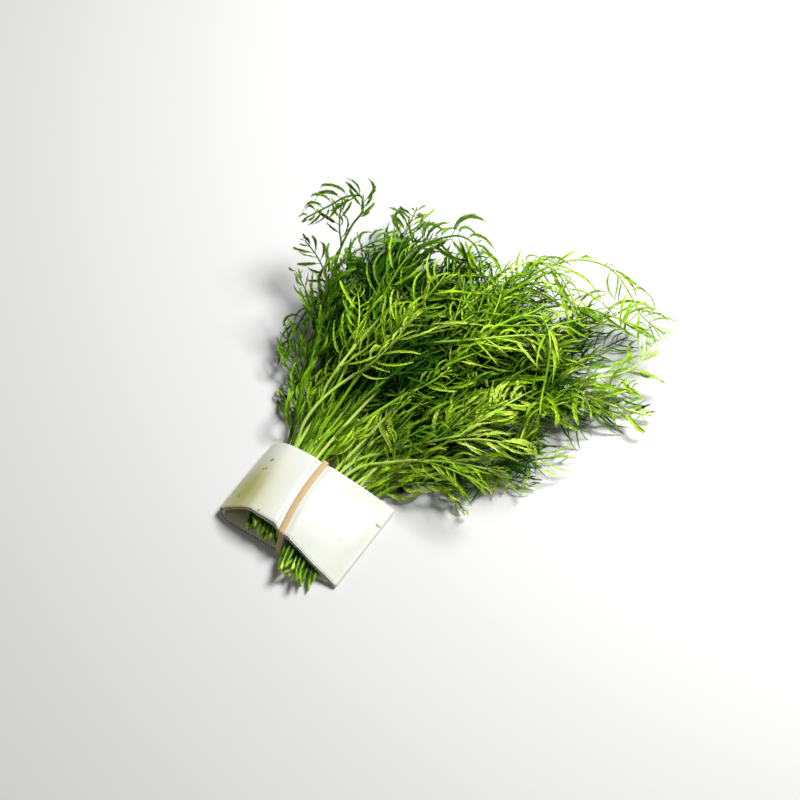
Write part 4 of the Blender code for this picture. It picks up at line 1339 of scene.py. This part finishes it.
# %% [markdown]
# ## The banana sheath
#
# The white wrapper is a strip of banana leaf sheath. It is soft and waxy, has fine veins along it, and is
# full of air cells, which show as a row of little brown hollows wherever it is cut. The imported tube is
# repeated here with close rows, gentle waves and rounded lips, and the rim at each mouth gets real hollows
# between its two skins.

# %% Places round a section
NOSE_STEPS = 10
FACE_STEPS = 200


def section_turns():
    """Places round a section, as (face, share): upper face, left fold, lower face, right fold."""
    across = [(step + 0.5) / FACE_STEPS for step in range(FACE_STEPS)]
    nose = [(step + 0.5) / NOSE_STEPS for step in range(NOSE_STEPS)]
    upper = [("upper", share) for share in across]
    left = [("left", share) for share in nose]
    lower = [("lower", 1 - share) for share in across]
    right = [("right", share) for share in nose]
    return upper + left + lower + right


TURNS = section_turns()
print("places round a section:", len(TURNS))

# %% Waves of the soft sheath
SWELL_HIGH, SWELL_ACROSS = 0.30, 0.22
CREASE_Y, CREASE_RUN = 27.0, 0.12
CREASE_DEEP, CREASE_WIDE, CREASE_LONG = 0.5, 1.6, 22.0
VEIN_HIGH = 0.018
FLAT_RIGHT, FLAT_LEFT = 8.0, 6.0
LIP_WAVES = (0.55, 0.16, 0.05)


def surface_wave(x, y):
    """Soft uneven swell of the sheath and its fine veins, in millimetres."""
    swell = SWELL_HIGH * math.sin(x / 8.5 + y / 14.0)
    swell += SWELL_ACROSS * math.sin(y / 6.0 + 1.6 * math.sin(x / 19.0))
    from_crease = (y - CREASE_Y - CREASE_RUN * x) / CREASE_WIDE
    crease = -CREASE_DEEP * math.exp(-from_crease ** 2) * math.exp(-x / CREASE_LONG)
    veins = VEIN_HIGH * math.sin(y * 2.6 + 1.3 * math.sin(x / 9.0) + math.sin(y / 3.1))
    flat = ease((y - FOLD_RIGHT_Y) / FLAT_RIGHT) * ease((FOLD_LEFT_Y - y) / FLAT_LEFT)
    return (swell * (1 - channel(x, y)) + crease + veins) * flat


def lip_wave(y, share):
    """How far the lower mouth's cut runs in and out of line, in millimetres."""
    broad, middle, fine = LIP_WAVES
    wave = broad * math.sin(y / 7.7 + 0.8) + middle * math.sin(y / 3.4) + fine * math.sin(y * 0.9)
    return wave * (1 - share) ** 6 * (1 - channel(LOWER_MOUTH_X, y))


print("the sheath swells by", SWELL_HIGH, "mm, its veins by", VEIN_HIGH, "mm")

# %% Places on the sheath
def face_spot(x, face, share, depth):
    """One place of a section, sunk by a depth into the wall."""
    sunk = depth / WALL
    right = mix(FOLD_RIGHT_Y, INNER_FOLD_RIGHT_Y, sunk) + FOLD_NOSE
    left = mix(FOLD_LEFT_Y, INNER_FOLD_LEFT_Y, sunk) - FOLD_NOSE
    if face in ("upper", "lower"):
        y = mix(right, left, share)
        if face == "lower":
            return y, outer_bottom(x, y) + depth
        wave = surface_wave(x, y) * (1 - sunk) if sunk < 1 else 0.0
        return y, outer_top(x, y) - depth + wave
    end = left if face == "left" else right
    top, low = outer_top(x, end) - depth, outer_bottom(x, end) + depth
    angle = math.pi * (0.5 - share) if face == "left" else math.pi * (share - 0.5)
    out = FOLD_NOSE * math.cos(angle)
    middle, half = (top + low) / 2, (top - low) / 2
    return (end + out if face == "left" else end - out), middle + half * math.sin(angle)


def sheath_spot(share, turn, depth):
    """One place of the sheath at a share of its length: mouths lean, so x follows from y and z."""
    face, across = turn
    x = UPPER_MOUTH_X * share
    for _ in range(3):
        y, z = face_spot(x, face, across, depth)
        lower_x = LOWER_MOUTH_X + LOWER_MOUTH_LEAN * z
        upper_x = UPPER_MOUTH_X - UPPER_MOUTH_SKEW * y
        x = mix(lower_x, upper_x, share)
    return x + lip_wave(y, share), y, z


MIDDLE = sheath_spot(0.5, ("upper", 0.5), 0.0)
print("middle of the upper face:", [round(float(value), 1) for value in MIDDLE])

# %% Rows along the sheath and round its rims
SHEATH_ROWS = 72
INNER_ROWS = 9
LIP_DEPTHS = (0.55, 0.22, 0.05)
LIP_SHARES = (0.0, 0.004, 0.010)
BODY_FROM = 0.018
SKIN = 0.5
CELL_EDGE = 0.12
CELL_PITCH = 2.1
CELL_SHARE = 0.66
CELL_DEEP = 1.1


def sheath_row(share, depth, push=None):
    """A closed row round the sheath, with some places pushed along it."""
    row = np.array([sheath_spot(share, turn, depth) for turn in TURNS])
    if push is not None:
        row[:, 0] += push
    return row


def cell_mask():
    """1 where an air cell opens in a rim, 0 on the walls between."""
    middle = sheath_row(0.0, WALL / 2)
    steps = np.linalg.norm(np.diff(middle, axis=0, append=middle[:1]), axis=1)
    along = np.cumsum(steps)
    phase = (along / CELL_PITCH + 0.15 * np.sin(along / 5.0)) % 1.0
    return (phase < CELL_SHARE).astype(float)


CELLS = cell_mask()


def rim_rows(share, inward):
    """Rows across one rim, from the outer skin over the hollow cells to the inner skin."""
    deep = CELLS * CELL_DEEP * inward
    depths = (SKIN, SKIN + CELL_EDGE, WALL - SKIN - CELL_EDGE, WALL - SKIN)
    pushes = (None, deep, deep, None)
    return [sheath_row(share, depth, push) for depth, push in zip(depths, pushes)]


def sheath_rows():
    """All rows of the closed sheath: outside, upper rim, inside, lower rim."""
    body = [BODY_FROM + (1 - 2 * BODY_FROM) * step / SHEATH_ROWS for step in range(SHEATH_ROWS + 1)]
    lips = list(zip(LIP_SHARES, LIP_DEPTHS))
    outside = [sheath_row(share, depth) for share, depth in lips]
    outside += [sheath_row(share, 0.0) for share in body]
    outside += [sheath_row(1 - share, depth) for share, depth in reversed(lips)]
    inside = [sheath_row(1 - step / INNER_ROWS, WALL) for step in range(INNER_ROWS + 1)]
    return outside + rim_rows(1.0, -1) + inside + rim_rows(0.0, 1)[::-1], len(outside)


ROWS, OUTSIDE_COUNT = sheath_rows()
print("rows of the sheath:", len(ROWS), "air cells round a rim:", int((np.diff(CELLS) > 0).sum()))

# %% Skin the sheath
# The yellow-green stain on the left slope is partly painted shade: it darkens the slope that faces away from
# the light.
STAIN_AND_SHADE_MIDDLE = (20.0, 36.0)
STAIN_AND_SHADE_REACH = (24.0, 12.0)
RIM_ROWS = 4


def ring_faces(rows, places):
    """Quads between neighbouring rows, closed both ways."""
    row, place = np.meshgrid(np.arange(rows), np.arange(places), indexing="ij")
    after, beside = (row + 1) % rows, (place + 1) % places
    quads = [row * places + place, row * places + beside, after * places + beside, after * places + place]
    return np.stack(quads, axis=-1).reshape(-1, 4)


def sheath_marks(rows):
    """Colour values of each corner: yellow-green stain with painted shade on the left slope, brown of the cut
    cells, and inside.
    """
    marks = np.zeros((len(rows), len(TURNS), 3))
    spots = np.array(rows)
    away = ((spots[..., 0] - STAIN_AND_SHADE_MIDDLE[0]) / STAIN_AND_SHADE_REACH[0]) ** 2
    away += ((spots[..., 1] - STAIN_AND_SHADE_MIDDLE[1]) / STAIN_AND_SHADE_REACH[1]) ** 2
    marks[..., 0] = np.exp(-away)
    marks[OUTSIDE_COUNT:, :, 2] = 1.0
    for first in (OUTSIDE_COUNT, len(rows) - RIM_ROWS):
        marks[first + 1:first + RIM_ROWS - 1, :, 1] = CELLS
    return marks.reshape(-1, 3)


SHEATH = mesh_piece("banana_sheath_wrap", np.concatenate(ROWS), ring_faces(len(ROWS), len(TURNS)),
                    np.ones(len(ROWS) * len(TURNS), dtype=bool), sheath_marks(ROWS), "marks")
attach(SHEATH, "root")
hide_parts("sheath")
print("faces of the sheath:", len(SHEATH.data.polygons))

# %% [markdown]
# ## The rubber band
#
# One flat band runs lengthwise, out of one mouth and back through the other, and presses its channel into
# the soft sheath. Its section is a small rounded rectangle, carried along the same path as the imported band,
# with closer steps round the mouths.

# %% Path of the band
BAND_STEPS = 44
CORNER_STEPS = 12
MOUTH_LOOK_X = 8.0


def arc_turn(x, z, first, last, count):
    """Supports that turn round one corner of the sleeve, as (x, z, angle of the outward normal)."""
    return [(x, z, first + (last - first) * step / (count - 1)) for step in range(count)]


def band_path():
    """Where the band bears on the sleeve: along the top, round both mouths, and below."""
    back_x = LOWER_MOUTH_X + LOWER_MOUTH_LEAN * outer_top(MOUTH_LOOK_X, band_y(MOUTH_LOOK_X))
    back_top = (back_x, outer_top(back_x, band_y(back_x)))
    back_low = (LOWER_MOUTH_X + LOWER_MOUTH_LEAN * CHANNEL_BELOW, CHANNEL_BELOW)
    front_x = UPPER_MOUTH_X - UPPER_MOUTH_SKEW * BAND_END_Y
    front_top = (front_x, outer_top(front_x, band_y(front_x)))
    lean = math.degrees(math.atan2(back_top[0] - back_low[0], back_top[1] - back_low[1]))
    above, below = [], []
    for step in range(1, BAND_STEPS):
        share = step / BAND_STEPS
        x = mix(back_x, front_x, share)
        above.append((x, outer_top(x, band_y(x)), 90.0))
        below.append((back_low[0] + (front_x - back_low[0]) * (1 - share), CHANNEL_BELOW, -90.0))
    path = arc_turn(*back_top, 180 - lean, 90, CORNER_STEPS) + above
    path += arc_turn(*front_top, 90, 0, CORNER_STEPS) + arc_turn(front_x, CHANNEL_BELOW, 0, -90, CORNER_STEPS)
    return path + below + arc_turn(*back_low, -90, -180 - lean, CORNER_STEPS)


print("places along the band:", len(band_path()))

# %% Section of the band, carried along its path
BAND_ROUND = 0.35
ROUND_TURNS = (0, 30, 60, 90)


def band_section():
    """Corners of the rounded rectangle, as (across, lift)."""
    corners = []
    half, thick = BAND_WIDTH / 2 - BAND_ROUND, BAND_THICK - BAND_ROUND
    middles = ((half, thick), (-half, thick), (-half, BAND_ROUND), (half, BAND_ROUND))
    for quarter, (across, lift) in enumerate(middles):
        for turn in ROUND_TURNS:
            angle = math.radians(90 * quarter + turn)
            corners.append((across + BAND_ROUND * math.cos(angle), lift + BAND_ROUND * math.sin(angle)))
    return corners


def band_ring(x, z, normal):
    """The section set square to the path at one place."""
    ring = []
    for across, lift in band_section():
        out_x = x + (FIT_GAP + lift) * math.cos(math.radians(normal))
        out_z = z + (FIT_GAP + lift) * math.sin(math.radians(normal))
        ring.append((out_x, band_y(out_x) + across, out_z))
    return ring


BAND_ROWS = np.array([band_ring(*place) for place in band_path()])
PLACES = BAND_ROWS.shape[1]
EDGES = np.zeros((len(BAND_ROWS), PLACES, 3))
EDGES[..., 0] = [abs(across) / (BAND_WIDTH / 2) for across, _ in band_section()]
BAND = mesh_piece("tan_band", BAND_ROWS.reshape(-1, 3), ring_faces(len(BAND_ROWS), PLACES),
                  np.ones(len(BAND_ROWS) * PLACES, dtype=bool), EDGES.reshape(-1, 3), "edges")
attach(BAND, "root")
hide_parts("rubber_band")
print("faces of the band:", len(BAND.data.polygons))

# %% [markdown]
# ## Finishes
#
# Leaves are green because of what they hold, so their colour differs from pinna to pinna: young tips are
# yellow green. Pinnae deep in the heap, and the side fronds sunk into it, are darkened by painted shade. The
# corner values made above drive a colour ramp, and a little noise breaks it up. The sheath is a creamy white
# wax over pale flesh, with a yellow-green stain on its left slope, darkened there as painted shade.

# %% Helpers for materials
def finish(name):
    """A new material, its node tree and its surface shader."""
    material = bpy.data.materials.new(name)
    material.use_nodes = True
    tree = material.node_tree
    return material, tree, tree.nodes["Principled BSDF"]


def give(tree, value, spot):
    """Feed an input: a socket is linked, a colour or a number is set."""
    if isinstance(value, bpy.types.NodeSocket):
        tree.links.new(value, spot)
    else:
        spot.default_value = (*value, 1.0) if isinstance(value, tuple) else value


def node(tree, kind, **values):
    """A new node with plain values set by the names of its inputs."""
    made = tree.nodes.new(kind)
    for name, value in values.items():
        made.inputs[name].default_value = value
    return made


print("a material starts from its surface shader")

# %% Colours from values
MIX_COLOUR_INPUTS = (0, 6, 7)
MIX_COLOUR_OUTPUT = 2


def ramp(tree, source, stops):
    """A colour ramp from (place, colour) stops."""
    made = tree.nodes.new("ShaderNodeValToRGB")
    points = made.color_ramp.elements
    while len(points) < len(stops):
        points.new(0.5)
    for point, (place, colour) in zip(points, stops):
        point.position = place
        point.color = (*colour, 1.0)
    tree.links.new(source, made.inputs["Fac"])
    return made.outputs["Color"]


def blend(tree, share, first, second):
    """Mix two colours; the share and the colours may be sockets or plain values."""
    made = tree.nodes.new("ShaderNodeMix")
    made.data_type, made.blend_type = "RGBA", "MIX"
    for place, value in zip(MIX_COLOUR_INPUTS, (share, first, second)):
        give(tree, value, made.inputs[place])
    return made.outputs[MIX_COLOUR_OUTPUT]


def sums(tree, operation, first, second):
    """A sum of two values or sockets, kept between 0 and 1."""
    made = tree.nodes.new("ShaderNodeMath")
    made.operation, made.use_clamp = operation, True
    for spot, value in zip(made.inputs, (first, second)):
        give(tree, value, spot)
    return made.outputs[0]


print("colours can be ramped and mixed")

# %% Noise, bumps and corner values
def object_noise(tree, scale, detail):
    """Noise fixed to the object."""
    where = tree.nodes.new("ShaderNodeTexCoord")
    made = node(tree, "ShaderNodeTexNoise", Scale=scale, Detail=detail)
    tree.links.new(where.outputs["Object"], made.inputs["Vector"])
    return made.outputs["Fac"]


def bump(tree, height, strength, distance):
    """A bump from a height socket."""
    made = node(tree, "ShaderNodeBump", Strength=strength, Distance=distance)
    tree.links.new(height, made.inputs["Height"])
    return made.outputs["Normal"]


def corner_values(tree, name):
    """The three colour values kept on the corners."""
    kept = tree.nodes.new("ShaderNodeAttribute")
    kept.attribute_name = name
    split = tree.nodes.new("ShaderNodeSeparateColor")
    tree.links.new(kept.outputs["Color"], split.inputs["Color"])
    return list(split.outputs)


print("noise, bumps and corner values can be read")

# %% Leaves and stems
LEAF_STOPS = (
    (0.0, (0.024, 0.095, 0.001)),
    (0.28, (0.095, 0.255, 0.002)),
    (0.50, (0.245, 0.510, 0.004)),
    (0.75, (0.460, 0.740, 0.012)),
    (1.0, (0.670, 0.850, 0.120)),
)
STALK_STOPS = (
    (0.0, (0.030, 0.100, 0.004)),
    (0.5, (0.240, 0.480, 0.012)),
    (1.0, (0.660, 0.820, 0.200)),
)
PAINTED_SHADE_GREEN = (0.012, 0.070, 0.001)
MOTTLE = 0.22
PAINTED_SHADE_FROM, PAINTED_SHADE_GAIN = 0.11, 2.0
STALK_ROUGH, LEAF_ROUGHER, DEEP_ROUGHER = 0.20, 0.30, 0.5
MOTTLE_NOISE = (260.0, 3.0)
LEAF_GRAIN, LEAF_BUMP = (1400.0, 2.0), (0.25, 0.0002)


def leaf_finish():
    """Green of leaflets and stalks, with painted shade that darkens them with depth in the heap."""
    material, tree, shader = finish("acacia_green")
    tone, leafy, depth = corner_values(tree, "growth")
    mottle = object_noise(tree, *MOTTLE_NOISE)
    toned = sums(tree, "ADD", tone, sums(tree, "MULTIPLY", mottle, MOTTLE))
    toned = sums(tree, "SUBTRACT", toned, MOTTLE / 2)
    leaf = ramp(tree, toned, LEAF_STOPS)
    stalk = ramp(tree, toned, STALK_STOPS)
    green = blend(tree, leafy, stalk, leaf)
    # Painted shade: corners deep in the heap are blended towards a deep green.
    deep = sums(tree, "MULTIPLY", sums(tree, "SUBTRACT", depth, PAINTED_SHADE_FROM), PAINTED_SHADE_GAIN)
    green = blend(tree, deep, green, PAINTED_SHADE_GREEN)
    tree.links.new(green, shader.inputs["Base Color"])
    rough = sums(tree, "ADD", sums(tree, "MULTIPLY", leafy, LEAF_ROUGHER), STALK_ROUGH)
    rough = sums(tree, "ADD", rough, sums(tree, "MULTIPLY", deep, DEEP_ROUGHER))
    tree.links.new(rough, shader.inputs["Roughness"])
    shader.inputs["Specular IOR Level"].default_value = 0.32
    shader.inputs["Specular Tint"].default_value = (0.92, 1.0, 0.40, 1.0)
    shader.inputs["Subsurface Weight"].default_value = 0.25
    shader.inputs["Subsurface Radius"].default_value = (0.6, 1.0, 0.15)
    shader.inputs["Subsurface Scale"].default_value = 0.002
    grain = bump(tree, object_noise(tree, *LEAF_GRAIN), *LEAF_BUMP)
    tree.links.new(grain, shader.inputs["Normal"])
    return material


LEAF_GREEN = leaf_finish()
for piece in SHOOTS:
    piece.data.materials.append(LEAF_GREEN)
print("shoots with the leaf finish:", len(SHOOTS))

# %% Waxy sheath
WAX = (0.665, 0.680, 0.615)
CREAM = (0.590, 0.590, 0.430)
STAIN_AND_PAINTED_SHADE = (0.400, 0.390, 0.110)
SPECK = (0.090, 0.150, 0.010)
CUT_BROWN = (0.300, 0.190, 0.060)
BLACK, WHITE = (0.0, 0.0, 0.0), (1.0, 1.0, 1.0)
CLOUD_STOPS = ((0.30, CREAM), (0.58, WAX))
SPECK_STOPS = ((0.750, BLACK), (0.775, WHITE))
SPECK_SHARE, INSIDE_SHARE, CUT_SHARE = 0.65, 0.35, 0.8
CLOUD_NOISE, STAIN_NOISE, SPECK_NOISE = (22.0, 3.0), (60.0, 4.0), (205.0, 1.0)
STAIN_LIFT = 0.75
WAX_GRAIN, WAX_BUMP = (700.0, 3.0), (0.12, 0.0003)


def sheath_finish():
    """Creamy wax with soft mottling, a yellow-green stain that is partly painted shade, small specks and brown
    cut cells.
    """
    material, tree, shader = finish("banana_sheath_wax")
    stain, cells, inside = corner_values(tree, "marks")
    base = ramp(tree, object_noise(tree, *CLOUD_NOISE), CLOUD_STOPS)
    uneven = sums(tree, "ADD", object_noise(tree, *STAIN_NOISE), STAIN_LIFT)
    # Stain and painted shade: the left slope is blended towards a darker olive.
    base = blend(tree, sums(tree, "MULTIPLY", stain, uneven), base, STAIN_AND_PAINTED_SHADE)
    specks = ramp(tree, object_noise(tree, *SPECK_NOISE), SPECK_STOPS)
    for mark, share, colour in ((specks, SPECK_SHARE, SPECK), (inside, INSIDE_SHARE, CREAM),
                                (cells, CUT_SHARE, CUT_BROWN)):
        base = blend(tree, sums(tree, "MULTIPLY", mark, share), base, colour)
    tree.links.new(base, shader.inputs["Base Color"])
    shader.inputs["Roughness"].default_value = 0.34
    shader.inputs["Subsurface Weight"].default_value = 0.12
    shader.inputs["Subsurface Scale"].default_value = 0.003
    shader.inputs["Coat Weight"].default_value = 0.15
    grain = bump(tree, object_noise(tree, *WAX_GRAIN), *WAX_BUMP)
    tree.links.new(grain, shader.inputs["Normal"])
    return material


SHEATH.data.materials.append(sheath_finish())
print("sheath finished")

# %% Tan rubber
RUBBER = (0.470, 0.290, 0.115)
RUBBER_EDGE = (0.640, 0.450, 0.240)
DUST_NOISE, DUST_LIFT, DUST_BUMP = (300.0, 4.0), 0.1, (0.2, 0.0002)


def rubber_finish():
    """Tan rubber, lighter along its edges, with a dusty unevenness."""
    material, tree, shader = finish("tan_rubber")
    edge = corner_values(tree, "edges")[0]
    dust = object_noise(tree, *DUST_NOISE)
    lighter = sums(tree, "MULTIPLY", edge, sums(tree, "ADD", dust, DUST_LIFT))
    tree.links.new(blend(tree, lighter, RUBBER, RUBBER_EDGE), shader.inputs["Base Color"])
    shader.inputs["Roughness"].default_value = 0.52
    tree.links.new(bump(tree, dust, *DUST_BUMP), shader.inputs["Normal"])
    return material


BAND.data.materials.append(rubber_finish())
print("band finished")

# %% [markdown]
# ## Floor, light and camera
#
# The bunch lies on a plain pale floor. One large soft light stands to the right and behind, as in the
# picture, a weaker one fills the shadows, and the pale surroundings do the rest. The camera looks down at
# the bunch at the picture's angle, with the sleeve to the lower left.

# %% Floor
FLOOR_HALF = 3.0
FLOOR_BELOW = 0.0002
FLOOR_PALE = (0.64, 0.64, 0.63, 1.0)
FLOOR_ROUGH = 0.75


def make_floor():
    """A wide plain pale floor, a hair below the bunch."""
    mesh = bpy.data.meshes.new("floor")
    signs = ((-1, -1), (1, -1), (1, 1), (-1, 1))
    mesh.from_pydata([(FLOOR_HALF * x, FLOOR_HALF * y, 0.0) for x, y in signs], [], [(0, 1, 2, 3)])
    floor = bpy.data.objects.new("floor", mesh)
    floor.location.z = -FLOOR_BELOW
    bpy.context.scene.collection.objects.link(floor)
    material, _, shader = finish("pale_floor")
    shader.inputs["Base Color"].default_value = FLOOR_PALE
    shader.inputs["Roughness"].default_value = FLOOR_ROUGH
    mesh.materials.append(material)


make_floor()
print("floor laid")

# %% Lights
TARGET = Vector((127.0, -2.5, 8.0)) * MM + MOVE
KEY_PLACE = (-20.0, 52.0, 1.1)
KEY_SIZE = 0.38
KEY_POWER = 22.5
FILL_PLACE = (150.0, 45.0, 1.3)
FILL_SIZE = 1.0
FILL_POWER = 1.2
WORLD_LIGHT = 0.09


def set_round(thing, place):
    """Stand a lamp or a camera round the bunch, at (bearing, height, distance), and let it face the bunch."""
    turn, rise, distance = math.radians(place[0]), math.radians(place[1]), place[2]
    away = Vector((math.cos(turn) * math.cos(rise), math.sin(turn) * math.cos(rise), math.sin(rise)))
    stand = bpy.data.objects.new(thing.name, thing)
    stand.location = TARGET + away * distance
    stand.rotation_euler = away.to_track_quat("Z", "Y").to_euler()
    bpy.context.scene.collection.objects.link(stand)
    return stand


def place_light(name, place, size, power):
    """A square area light that faces the bunch."""
    light = bpy.data.lights.new(name, "AREA")
    light.shape, light.size, light.energy = "SQUARE", size, power
    set_round(light, place)


place_light("key", KEY_PLACE, KEY_SIZE, KEY_POWER)
place_light("fill", FILL_PLACE, FILL_SIZE, FILL_POWER)
bpy.context.scene.view_settings.view_transform = "Standard"
world = bpy.data.worlds.new("pale_room")
world.use_nodes = True
room = world.node_tree.nodes["Background"].inputs
room["Color"].default_value = (*WHITE, 1.0)
room["Strength"].default_value = WORLD_LIGHT
bpy.context.scene.world = world
print("lights:", [light.name for light in bpy.data.lights])

# %% Camera
CAMERA_PLACE = (-145.0, 60.0, 1.1713)
CAMERA_LENS = 85.0
CAMERA_SENSOR = 36.0

camera = bpy.data.cameras.new("camera")
camera.lens, camera.sensor_width = CAMERA_LENS, CAMERA_SENSOR
bpy.context.scene.camera = set_round(camera, CAMERA_PLACE)
print("camera at", [round(value, 3) for value in bpy.context.scene.camera.location])
